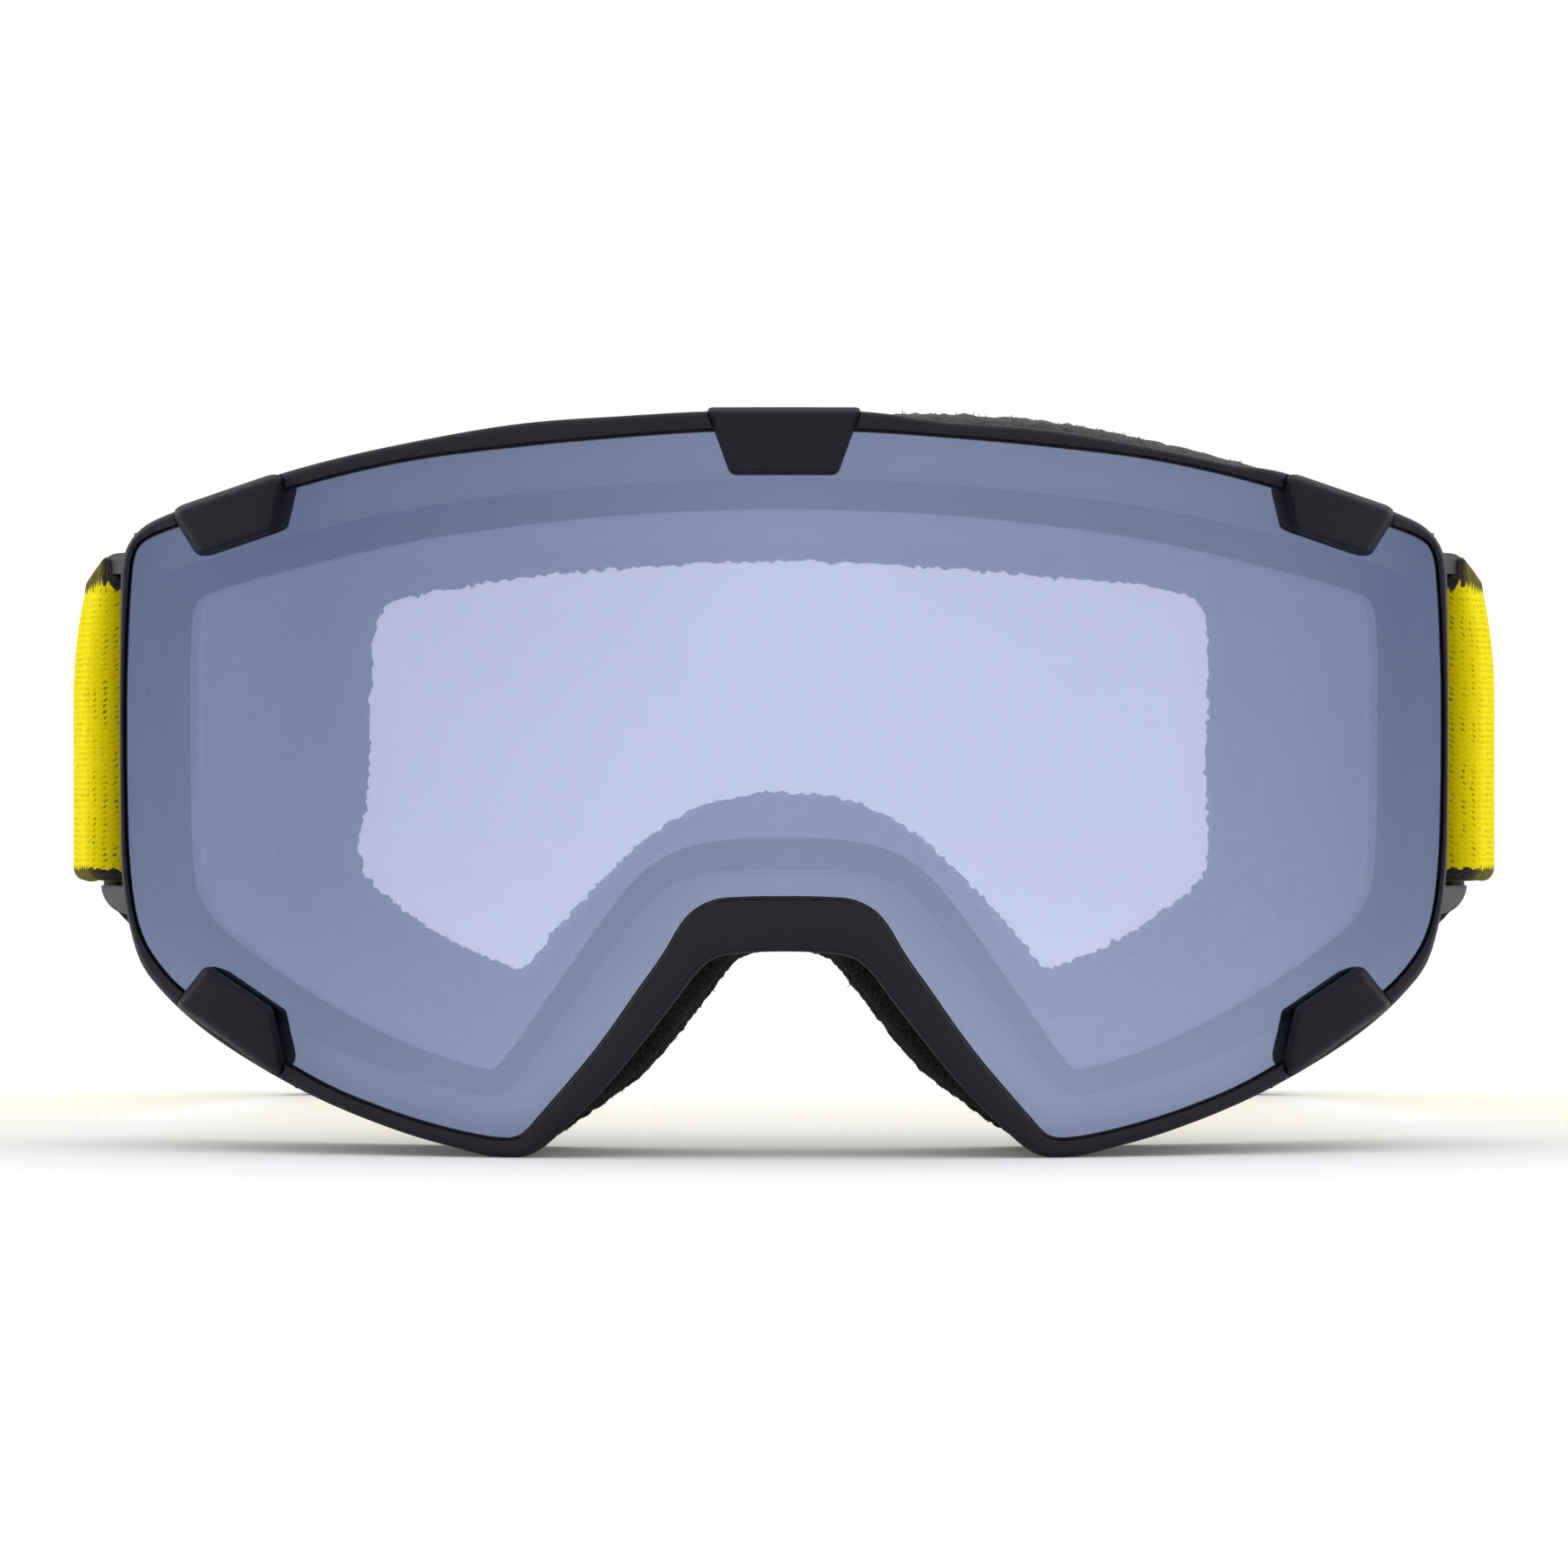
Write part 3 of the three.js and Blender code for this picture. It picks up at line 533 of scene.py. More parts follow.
class N:
    """A few shortcuts for building node trees."""

    def __init__(self, nt):
        self.nt = nt

    def node(self, kind, inputs=None, **props):
        n = self.nt.nodes.new(kind)
        for k, v in props.items():
            setattr(n, k, v)
        for k, v in (inputs or {}).items():
            self.put(n.inputs[k], v)
        return n

    def put(self, socket, v):
        if isinstance(v, bpy.types.NodeSocket):
            self.nt.links.new(v, socket)
        else:
            socket.default_value = v

    def math(self, op, a, b=0.0, c=0.0, clamp=False):
        n = self.nt.nodes.new("ShaderNodeMath")
        n.operation = op
        n.use_clamp = clamp
        for s, v in zip(n.inputs, (a, b, c)):
            self.put(s, v)
        return n.outputs[0]

    def mix(self, fac, a, b):
        n = self.nt.nodes.new("ShaderNodeMix")
        n.data_type = "RGBA"
        self.put(n.inputs["Factor"], fac)
        self.put(n.inputs[6], a)
        self.put(n.inputs[7], b)
        return n.outputs[2]

    def noise(self, vec, scale, detail=2.0, rough=0.5):
        n = self.node("ShaderNodeTexNoise", {"Scale": scale, "Detail": detail, "Roughness": rough})
        self.nt.links.new(vec, n.inputs["Vector"])
        return n.outputs["Fac"]

    def voronoi(self, vec, scale, feature="F1"):
        n = self.node("ShaderNodeTexVoronoi", {"Scale": scale}, feature=feature)
        self.nt.links.new(vec, n.inputs["Vector"])
        return n.outputs["Distance"]

    def ramp(self, fac, lo, hi):
        n = self.node("ShaderNodeMapRange", {"From Min": lo, "From Max": hi})
        n.clamp = True
        self.put(n.inputs["Value"], fac)
        return n.outputs["Result"]

    def bump(self, height, strength, distance, normal=None):
        n = self.node("ShaderNodeBump", {"Strength": strength, "Distance": distance})
        self.put(n.inputs["Height"], height)
        if normal is not None:
            self.put(n.inputs["Normal"], normal)
        return n.outputs["Normal"]


def rgb(*c):
    return (*c, 1.0)


def plastic(name, base, rough, spec=0.4, grain=1.0, edge=0.0):
    """Moulded plastic: a spark-eroded grain with paler high spots, faint mottling and, when edge is set, colour paler
    in patches along sharp convex edges.
    """
    m, nt, out = material(name)
    n = N(nt)
    vec = n.node("ShaderNodeTexCoord").outputs["Object"]
    big = n.noise(vec, 55, 3)
    fine = n.noise(vec, 2600, 2, 0.6)
    pits = n.voronoi(vec, 3200)
    col = n.mix(n.ramp(big, 0.3, 0.7), rgb(*[c * 0.86 for c in base]), rgb(*[c * 1.16 for c in base]))
    col = n.mix(n.math("MULTIPLY", n.ramp(fine, 0.55, 0.8), 0.35 * min(1.0, grain * 4)), col, rgb(*[min(1, c * 1.5 + 0.004) for c in base]))
    if edge:
        # the colour is paler in patches along sharp convex edges
        pointy = n.node("ShaderNodeNewGeometry").outputs["Pointiness"]
        wear = n.math("MULTIPLY", n.ramp(pointy, 0.53, 0.6), n.ramp(n.noise(vec, 420, 3), 0.35, 0.7))
        col = n.mix(n.math("MULTIPLY", wear, edge), col, rgb(*[c * 2.2 + 0.012 for c in base]))
    r = n.math("ADD", rough - 0.07, n.math("MULTIPLY", big, 0.1))
    r = n.math("ADD", r, n.math("MULTIPLY", fine, 0.06), clamp=True)
    nrm = n.bump(n.math("ADD", n.math("MULTIPLY", fine, 0.6), n.math("MULTIPLY", pits, 0.5)), 0.22 * grain, 0.00006)
    nrm = n.bump(n.noise(vec, 160, 2), 0.12, 0.0001, nrm)
    b = n.node("ShaderNodeBsdfPrincipled", {"Base Color": col, "Roughness": r, "Specular IOR Level": spec, "Normal": nrm})
    nt.links.new(b.outputs[0], out.inputs[0])
    return m


def foam_material(name, base, pore, scale, depth, sheen=0.0, fuzz=0.0):
    """Open-cell foam: dark pores between pale cell walls."""
    m, nt, out = material(name)
    n = N(nt)
    vec = n.node("ShaderNodeTexCoord").outputs["Object"]
    cells = n.voronoi(vec, scale)
    cells2 = n.voronoi(vec, scale * 2.3)
    big = n.noise(vec, 90, 3)
    hole = n.math("MULTIPLY", n.ramp(cells, 0.15, 0.55), n.ramp(cells2, 0.1, 0.6))
    col = n.mix(hole, rgb(*base), rgb(*pore))
    col = n.mix(n.math("MULTIPLY", n.ramp(big, 0.35, 0.7), 0.3), col, rgb(*[min(1, c * 1.45) for c in base]))
    h = n.math("SUBTRACT", n.math("MULTIPLY", n.noise(vec, scale * 0.5, 3), 0.5), n.math("MULTIPLY", hole, 0.8))
    nrm = n.bump(h, 0.8, depth)
    b = n.node("ShaderNodeBsdfPrincipled", {"Base Color": col, "Roughness": 0.95, "Specular IOR Level": 0.15, "Normal": nrm, "Sheen Weight": sheen, "Sheen Roughness": 0.5})
    nt.links.new(b.outputs[0], out.inputs[0])
    return m


def fleece_material(name, base):
    m, nt, out = material(name)
    n = N(nt)
    vec = n.node("ShaderNodeTexCoord").outputs["Object"]
    warp = n.node("ShaderNodeTexNoise", {"Scale": 500.0, "Detail": 2.0})
    nt.links.new(vec, warp.inputs["Vector"])
    moved = n.node("ShaderNodeVectorMath", operation="MULTIPLY_ADD")
    nt.links.new(warp.outputs["Color"], moved.inputs[0])
    moved.inputs[1].default_value = (0.0022, 0.0022, 0.0022)
    nt.links.new(vec, moved.inputs[2])
    w = moved.outputs[0]
    curl = n.noise(w, 900, 4, 0.65)
    fibre = n.noise(w, 3400, 3, 0.7)
    clump = n.voronoi(w, 950)
    big = n.noise(vec, 70, 3)
    h = n.math("ADD", n.math("MULTIPLY", curl, 0.8), n.math("MULTIPLY", fibre, 0.45))
    h = n.math("SUBTRACT", h, n.math("MULTIPLY", n.ramp(clump, 0.3, 0.8), 0.16))
    col = n.mix(n.ramp(h, 0.3, 0.95), rgb(*[c * 0.55 for c in base]), rgb(*[min(1, c * 1.3) for c in base]))
    col = n.mix(n.math("MULTIPLY", n.ramp(big, 0.4, 0.7), 0.25), col, rgb(*[min(1, c * 1.6) for c in base]))
    nrm = n.bump(h, 0.9, 0.0007)
    b = n.node("ShaderNodeBsdfPrincipled", {"Base Color": col, "Roughness": 0.97, "Specular IOR Level": 0.1, "Normal": nrm, "Sheen Weight": 0.5, "Sheen Roughness": 0.6, "Sheen Tint": rgb(0.5, 0.48, 0.46)})
    nt.links.new(b.outputs[0], out.inputs[0])
    return m


def coated_lens(name, through, mirror, rough=0.012, low=None):
    """Thin see-through plastic: what is behind it, tinted, plus a reflection of the studio."""
    m, nt, out = material(name)
    n = N(nt)
    vec = n.node("ShaderNodeTexCoord").outputs["Object"]
    haze = n.noise(vec, 16, 2)
    smudge = n.noise(vec, 48, 3)
    tint = mirror
    if low:
        # painted reflection: the mirror tint is brightest over the nose and the lower middle and darkens to the low
        # tint towards the brow and the temples, a little brighter on one side, standing in for how the studio's
        # reflection falls across the lens
        x = n.node("ShaderNodeSeparateXYZ")
        nt.links.new(vec, x.inputs[0])
        f = n.math("SUBTRACT", 1.0, n.math("ADD", n.math("MULTIPLY", n.math("ABSOLUTE", x.outputs[0]), 5.7), n.math("MULTIPLY", x.outputs[2], 5.3)))
        lean = n.math("MULTIPLY", n.math("MULTIPLY", x.outputs[0], 2.3), n.math("SUBTRACT", 1.0, n.ramp(n.math("ABSOLUTE", x.outputs[0]), 0.062, 0.08)))
        f = n.math("ADD", f, n.math("ADD", lean, n.math("MULTIPLY", n.math("SUBTRACT", haze, 0.5), 0.14)), clamp=True)
        tint = n.mix(f, rgb(*low), rgb(*mirror))
    else:
        tint = n.mix(n.math("MULTIPLY", n.ramp(haze, 0.35, 0.7), 0.12), rgb(*mirror), rgb(*[min(1, c * 1.15) for c in mirror]))
    clear = n.mix(n.math("MULTIPLY", n.ramp(smudge, 0.4, 0.75), 0.25), rgb(*through), rgb(*[c * 0.975 for c in through]))
    gl = n.node("ShaderNodeBsdfGlossy", {"Color": tint})
    nt.links.new(n.math("ADD", rough, n.math("MULTIPLY", n.ramp(smudge, 0.5, 0.8), rough)), gl.inputs["Roughness"])
    tr = n.node("ShaderNodeBsdfTransparent", {"Color": clear})
    add = n.node("ShaderNodeAddShader")
    nt.links.new(gl.outputs[0], add.inputs[0])
    nt.links.new(tr.outputs[0], add.inputs[1])
    nt.links.new(add.outputs[0], out.inputs[0])
    return m


def knit_material(name):
    """Knit elastic with black woven edges. The UV map holds millimetres / 100 along and across the strap."""
    m, nt, out = material(name)
    n = N(nt)
    uv = n.node("ShaderNodeUVMap", uv_map="strap")
    sep = n.node("ShaderNodeSeparateXYZ")
    nt.links.new(uv.outputs[0], sep.inputs[0])
    u = n.math("MULTIPLY", sep.outputs[0], 100.0)
    v = n.math("MULTIPLY", sep.outputs[1], 100.0)
    obj = n.node("ShaderNodeTexCoord").outputs["Object"]
    jit = n.noise(obj, 700, 2)
    slow = n.noise(obj, 60, 3)
    uj = n.math("ADD", u, n.math("MULTIPLY", n.math("SUBTRACT", jit, 0.5), 0.9))
    vj = n.math("ADD", v, n.math("MULTIPLY", n.math("SUBTRACT", n.noise(obj, 520, 2), 0.5), 0.7))
    rib_p, col_p = 0.8, 1.2  # course height and stitch length in mm
    wave = n.math("MULTIPLY", n.math("SINE", n.math("MULTIPLY", uj, 2 * math.pi / col_p)), 0.13)
    vw = n.math("ADD", vj, wave)
    rib = n.math("ABSOLUTE", n.math("SINE", n.math("MULTIPLY", vw, math.pi / rib_p)))
    fu = n.math("FRACT", n.math("DIVIDE", uj, col_p))
    loop = n.math("SINE", n.math("MULTIPLY", fu, math.pi))
    height = n.math("ADD", 0.62, n.math("MULTIPLY", n.math("MULTIPLY", n.math("POWER", rib, 0.8), n.math("ADD", 0.5, n.math("MULTIPLY", loop, 0.5))), 0.38))
    # pin holes where four loops meet
    du = n.math("SUBTRACT", 0.5, n.math("ABSOLUTE", n.math("SUBTRACT", fu, 0.5)))
    fv = n.math("FRACT", n.math("DIVIDE", vw, rib_p))
    dv = n.math("SUBTRACT", 0.5, n.math("ABSOLUTE", n.math("SUBTRACT", fv, 0.5)))
    rr = n.math("ADD", n.math("POWER", n.math("DIVIDE", du, 0.17), 2.0), n.math("POWER", n.math("DIVIDE", dv, 0.2), 2.0))
    gap = n.math("SUBTRACT", 1.0, n.ramp(rr, 0.35, 1.6))
    keep = n.ramp(n.noise(obj, 420, 3, 0.6), 0.42, 0.62)
    gap = n.math("MULTIPLY", gap, n.math("ADD", 0.05, n.math("MULTIPLY", keep, 0.9)))
    # colour of the face yarn: painted shade, darker where the knit lies low in the valleys between courses and loops,
    # with a random fluff tone
    fluff = n.noise(obj, 2600, 3, 0.7)
    yel = n.mix(n.ramp(n.math("ADD", n.math("MULTIPLY", height, 0.6), n.math("MULTIPLY", fluff, 0.55)), 0.35, 0.9), rgb(0.66, 0.53, 0.0012), rgb(1.0, 0.86, 0.003))
    yel = n.mix(n.math("MULTIPLY", n.ramp(slow, 0.35, 0.7), 0.25), yel, rgb(0.95, 0.80, 0.005))
    # painted shade: the yarn darkens over the first 7 to 16 mm of the band, where it turns round the bar close by the
    # frame
    yel = n.mix(n.math("SUBTRACT", 1.0, n.ramp(u, 7.0, 16.0)), yel, rgb(0.54, 0.42, 0.0012))
    yel = n.mix(gap, yel, rgb(0.17, 0.125, 0.002))
    # black edge with a scalloped boundary
    av = n.math("ABSOLUTE", v)
    scal = n.math("ADD", n.math("MULTIPLY", n.math("ABSOLUTE", n.math("SINE", n.math("MULTIPLY", uj, math.pi / 1.5))), 0.42), n.math("MULTIPLY", n.math("SUBTRACT", jit, 0.5), 0.9))
    edge = n.ramp(n.math("SUBTRACT", n.math("ADD", av, scal), 18.95), -0.06, 0.06)
    # painted shade: the black edge is darker where the knit lies low
    blk = n.mix(n.ramp(height, 0.5, 0.95), rgb(0.007, 0.006, 0.008), rgb(0.026, 0.023, 0.032))
    col = n.mix(edge, yel, blk)
    h = n.math("ADD", height, n.math("MULTIPLY", n.noise(obj, 4200, 3, 0.7), 0.4))
    h = n.math("SUBTRACT", h, n.math("MULTIPLY", gap, 0.6))
    nrm = n.bump(h, 0.7, 0.0003)
    b = n.node("ShaderNodeBsdfPrincipled", {"Base Color": col, "Roughness": 0.92, "Specular IOR Level": 0.06, "Normal": nrm, "Sheen Weight": 0.3, "Sheen Roughness": 0.5, "Sheen Tint": rgb(1.0, 0.86, 0.02)})
    nt.links.new(b.outputs[0], out.inputs[0])
    return m


def metal(name, base, rough):
    m, nt, out = material(name)
    n = N(nt)
    vec = n.node("ShaderNodeTexCoord").outputs["Object"]
    line = n.node("ShaderNodeMapping")
    line.inputs["Scale"].default_value = (3000, 3000, 60)
    nt.links.new(vec, line.inputs[0])
    draw = n.noise(line.outputs[0], 1.0, 2)
    col = n.mix(draw, rgb(*[c * 0.8 for c in base]), rgb(*base))
    r = n.math("ADD", rough - 0.08, n.math("MULTIPLY", draw, 0.16))
    b = n.node("ShaderNodeBsdfPrincipled", {"Base Color": col, "Metallic": 1.0, "Roughness": r, "Normal": n.bump(draw, 0.3, 0.00002)})
    nt.links.new(b.outputs[0], out.inputs[0])
    return m


def rubber(name, base, rough, spec=0.35):
    m, nt, out = material(name)
    n = N(nt)
    vec = n.node("ShaderNodeTexCoord").outputs["Object"]
    big = n.noise(vec, 130, 3)
    fine = n.noise(vec, 3000, 2)
    col = n.mix(n.ramp(big, 0.3, 0.7), rgb(*[c * 0.8 for c in base]), rgb(*[c * 1.25 for c in base]))
    r = n.math("ADD", rough - 0.05, n.math("MULTIPLY", big, 0.12))
    b = n.node("ShaderNodeBsdfPrincipled", {"Base Color": col, "Roughness": r, "Specular IOR Level": spec, "Normal": n.bump(fine, 0.3, 0.00004)})
    nt.links.new(b.outputs[0], out.inputs[0])
    return m


MAT = {
    "frame": plastic("frame_plastic", (0.0082, 0.0074, 0.0135), 0.50, spec=0.2, edge=0.2),
    # painted light: a paler grey copy of the frame plastic for the lens seat, so the seat seen through the lens looks
    # lit
    "seat": plastic("seat_plastic", (0.122, 0.122, 0.13), 0.45, spec=0.3, grain=0.02),
    "clip": plastic("clip_plastic", (0.0078, 0.0074, 0.0135), 0.48, spec=0.15, grain=0.7, edge=0.25),
    "wing": plastic("wing_plastic", (0.046, 0.045, 0.052), 0.46, spec=0.3, edge=0.2),
    "lens": coated_lens("lens_mirror_coat", (0.645, 0.645, 0.69), (0.245, 0.282, 0.42), low=(0.098, 0.131, 0.232)),
    "lens_back": coated_lens("lens_inner_face", (0.96, 0.962, 0.965), (0.008, 0.008, 0.01)),
    "lens_edge": rubber("lens_cut_edge", (0.012, 0.012, 0.018), 0.35),
    "inner": coated_lens("inner_lens_face", (0.645, 0.655, 0.68), (0.12, 0.12, 0.15)),
    "gasket": foam_material("gasket_foam", (0.008, 0.008, 0.011), (0.004, 0.004, 0.005), 2600, 0.00003),
    "foam": foam_material("face_foam", (0.032, 0.032, 0.035), (0.007, 0.007, 0.008), 1150, 0.0004),
    "foam_firm": foam_material("firm_foam", (0.034, 0.034, 0.038), (0.009, 0.009, 0.01), 1700, 0.0002),
    "vent": foam_material("vent_foam", (0.022, 0.022, 0.024), (0.003, 0.003, 0.003), 800, 0.0005),
    "fleece": fleece_material("fleece", (0.088, 0.083, 0.081)),
    "knit": knit_material("strap_knit"),
    "silicone": rubber("silicone", (0.016, 0.016, 0.018), 0.32, 0.5),
    "steel": metal("pin_steel", (0.62, 0.62, 0.64), 0.3),
    "thread": rubber("black_thread", (0.016, 0.015, 0.018), 0.75, 0.25),
    "membrane": rubber("breather_membrane", (0.01, 0.01, 0.012), 0.6),
}


def dress(ob, *names):
    ob.data.materials.clear()
    for k in names:
        ob.data.materials.append(MAT[k])
    return ob


# ------------------------------------------------------------------ frame moulding
def seat_back_y(x, r=119.6):
    return AXIS_Y - math.sqrt(r * r - x * x)


def build_frame():
    lens_edge = grow(C_LENS, 0.2)
    rim = C_RIM.copy()
    # the brow of the rim is a little slimmer on one side, where the foam shows above it
    k = np.clip((rim[:, 0] - 9) / 14, 0, 1) * np.clip((66 - rim[:, 0]) / 9, 0, 1) * (rim[:, 1] > 80)
    rim[:, 1] -= 0.8 * k * k * (3 - 2 * k)
    wall = soft_clip(rim, SIDE_X)
    width = np.linalg.norm(rim - lens_edge, axis=1)

    def across(f, lift):
        """A point a share f of the way from the lens edge to the outer edge, at radius lift."""
        return on_lens(lens_edge + (rim - lens_edge) * np.asarray(f).reshape(-1, 1), lift)

    w = width
    round_o = np.minimum(0.75 / w, 0.45)  # share of the width taken by the outer rounding
    round_i = np.minimum(0.35 / w, 0.3)
    ones = np.ones(M)
    t = np.clip((np.abs(rim[:, 0]) - 60) / 22, 0, 1)
    low = 0.42 * t * t * (3 - 2 * t)  # the rim is shallower round the temples
    crown = 128.75 + np.minimum(w, 7) * 0.035 - low
    rings = [
        across(0 * ones, 122.0),
        across(0 * ones, 127.2),
        across(0 * ones, 128.2 - low),
        across(round_i * 0.35, 128.5 - low),
        across(round_i, 128.62 - low),
        across(0.30 * ones + 0.7 * round_i, crown),
        across(0.60 * ones, crown - 0.03),
        across(1 - round_o * 1.3, 128.60 - low),
        across(1 - round_o * 0.7, 128.42 - low),
        across(1 - round_o * 0.3, 128.05 - low * 0.8),
        across(1 - round_o * 0.06, 127.55 - low * 0.5),
        across(ones, 126.8),
        across(ones, 124.0),
        across(ones, 120.9),
        across(1 - 0.12 / w, 120.3),
        across(1 - 0.45 / w, 120.0),
    ]
    # in under the rim to the side wall
    y0 = rings[-1][:, 1]
    start, wl = grow(rim, -0.5), wall
    for t in (0.35, 0.7, 1.0):
        q = start * (1 - t) + wl * t
        ring = np.stack([q[:, 0], AXIS_Y - np.sqrt(119.9 ** 2 - q[:, 0] ** 2) + 0.15 * t, q[:, 1]], 1)
        rings.append(ring)
    rear = on_back(wl, 0)
    base = rings[-1]
    for t in (0.12, 0.5, 0.9):
        rings.append(base * (1 - t) + (on_back(wl, -0.8)) * t)
    rings.append(on_back(grow(wl, -0.12), -0.3))
    rings.append(on_back(grow(wl, -0.5), 0.0))
    inner = C_SEAT
    for t in (0.5,):
        rings.append(on_back(grow(wl, -0.5) * (1 - t) + inner * t, 0.0))
    rings.append(on_back(grow(inner, 0.5), 0.0))
    rings.append(on_back(inner, -0.5))
    rings.append(on_back(inner, -1.6))
    rings.append(on_back(grow(inner, 0.4), -2.0))
    wi = grow(wall, -2.3)
    rings.append(on_back(wi, -2.0))
    # up the inside of the wall and out over the back of the seat
    q = np.stack([wi[:, 0], AXIS_Y - np.sqrt(119.6 ** 2 - wi[:, 0] ** 2), wi[:, 1]], 1)
    rings.append(q)
    rings.append(on_lens(grow(inner, 0.5), 119.6))
    rings.append(on_lens(inner, 120.0))
    rings.append(on_lens(inner, 121.5))
    rings.append(on_lens(grow(inner, 0.4), 121.9))
    rings.append(on_lens(grow(C_GI, -0.5) * 0.5 + grow(inner, 0.6) * 0.5, 121.9))
    rings.append(on_lens(C_GO, 121.9))
    ob = ring_object("frame_moulding", rings)
    # flat triangles where the vent slots are cut
    bm = bmesh.new()
    bm.from_mesh(ob.data)
    wall_faces = []
    for f in bm.faces:
        c = f.calc_center_median() * 1000
        r = math.hypot(c[0], AXIS_Y - (c[1] - OY))
        if r < 119.8 and (c[2] > 80 or c[2] < 14):
            wall_faces.append(f)
    bmesh.ops.triangulate(bm, faces=wall_faces)
    bm.to_mesh(ob.data)
    bm.free()
    # pockets for the lens clips
    cutters = []
    for pts, radii in all_clips().values():
        lo = fillet_poly(pts, -0.14, radii, 6, 6)
        n = len(lo)
        v = np.concatenate([on_lens(lo, 127.75), on_lens(lo, 134.0)])
        f = [tuple(range(n)), tuple(range(2 * n - 1, n - 1, -1))] + [(i, (i + 1) % n, n + (i + 1) % n, n + i) for i in range(n)]
        # a curved floor, so that the pocket follows the lens cylinder
        c = lo.mean(0)
        rows = [c + (lo - c) * s for s in (0.75, 0.5, 0.25)]
        vv = [on_lens(lo, 127.75)] + [on_lens(r_, 127.75) for r_ in rows] + [on_lens(c[None], 127.75)]
        top = [on_lens(lo, 134.0)] + [on_lens(r_, 134.0) for r_ in rows] + [on_lens(c[None], 134.0)]
        allv = np.concatenate(vv + top)
        f = []
        half_n = 4 * n + 1
        for base_i in (0, half_n):
            for k in range(3):
                f += [(base_i + k * n + i, base_i + k * n + (i + 1) % n, base_i + (k + 1) * n + (i + 1) % n, base_i + (k + 1) * n + i) for i in range(n)]
            f += [(base_i + 3 * n + i, base_i + 3 * n + (i + 1) % n, base_i + 4 * n) for i in range(n)]
        f += [(i, (i + 1) % n, half_n + (i + 1) % n, half_n + i) for i in range(n)]
        cutters.append(new_object("cut", allv, f, smooth=False))
    # vent slots
    def slot_cutter(x0, x1, y0, y1, z0, z1):
        pts = fillet_poly([(x0, y0), (x1, y0), (x1, y1), (x0, y1)], 0, 1.6, 3, 6)
        return prism("cut", [tuple(p) for p in pts], z0, z1)

    for x0, x1, y0, y1 in ((3.03, 18.03, 11.56, 18.47), (22.07, 36.93, 15.08, 21.91), (41.11, 54.91, 23.09, 28.93)):
        for s in (-1, 1):
            cutters.append(slot_cutter(min(s * x0, s * x1), max(s * x0, s * x1), y0, y1, 84, 110))
    for x0, x1, y0, y1 in ((42, 51, 21, 27.5), (54, 64, 28, 34)):
        for s in (-1, 1):
            cutters.append(slot_cutter(min(s * x0, s * x1), max(s * x0, s * x1), y0, y1, -5, 11))
    boolean(ob, cutters, "DIFFERENCE")
    # lugs for the outrigger pins
    adds = []
    for s in (-1, 1):
        for z0, z1 in ((27.5, 30.6), (79.8, 82.1)):
            n = 28
            pts = [(s * 80.5, 45.0), (s * 85.6, 44.4)]
            for k in range(n + 1):
                a = -math.pi / 2 + math.pi * k / n
                pts.append((s * (PIN[0] + 1.9 * math.cos(a)), PIN[1] + 1.9 * math.sin(a)))
            pts += [(s * 80.5, PIN[1] + 1.9)]
            adds.append(bevel(prism("lug", pts, z0, z1), 0.35, 3, 50))
    boolean(ob, adds, "UNION")
    clean(ob)
    for v in ob.data.vertices:
        v.co[2] = max(v.co[2], 0.0)
    dress(ob, "frame", "seat")
    # painted light: the seat band behind the lens takes the paler grey copy of the frame plastic
    for f in ob.data.polygons:
        x, y, z = f.center[0] * 1000, f.center[1] * 1000 - OY, f.center[2] * 1000
        r = math.hypot(x, AXIS_Y - y)
        f.material_index = 1 if 121.5 < r < 122.3 and y < 60 and abs(f.normal[2]) < 0.5 else 0
    return finish_mesh(ob, 38)


def all_clips():
    flip = lambda c: ([(-x, z) for x, z in c[0]], c[1])
    return {
        "clip_top": TOP_CLIP,
        "clip_upper_right": UPPER_CLIP,
        "clip_upper_left": flip(UPPER_CLIP),
        "clip_lower_right": LOWER_CLIP,
        "clip_lower_left": flip(LOWER_CLIP),
    }


def build_clip(name, pts, radii):
    prof = [(0.35, 127.98), (0.10, 128.02), (0.0, 128.15), (0.0, 128.45), (0.22, 129.1), (0.46, 129.65), (0.62, 129.95), (0.85, 130.18), (1.15, 130.32), (1.55, 130.38)]
    rings = [on_lens(fillet_poly(pts, d, radii, 12, 8), r) for d, r in prof]
    flat = fillet_poly(pts, 1.55, radii, 12, 8)
    c = flat.mean(0)
    for s in (0.82, 0.64, 0.46):
        rings.append(on_lens(c + (flat - c) * s, 130.38 + 0.03 * (1 - s)))
    first = fillet_poly(pts, 0.35, radii, 12, 8)
    c0 = first.mean(0)
    back = [on_lens(c0 + (first - c0) * s, 127.98) for s in (0.5, 0.8)]
    rings = back + rings
    n = len(flat)
    v = np.concatenate(rings)
    f = ring_faces(len(rings), n, closed=False)
    f += [tuple(range(n)), tuple(range(len(v) - 1, len(v) - n - 1, -1))]
    ob = new_object(name, v, f, angle=60)
    return dress(ob, "clip")


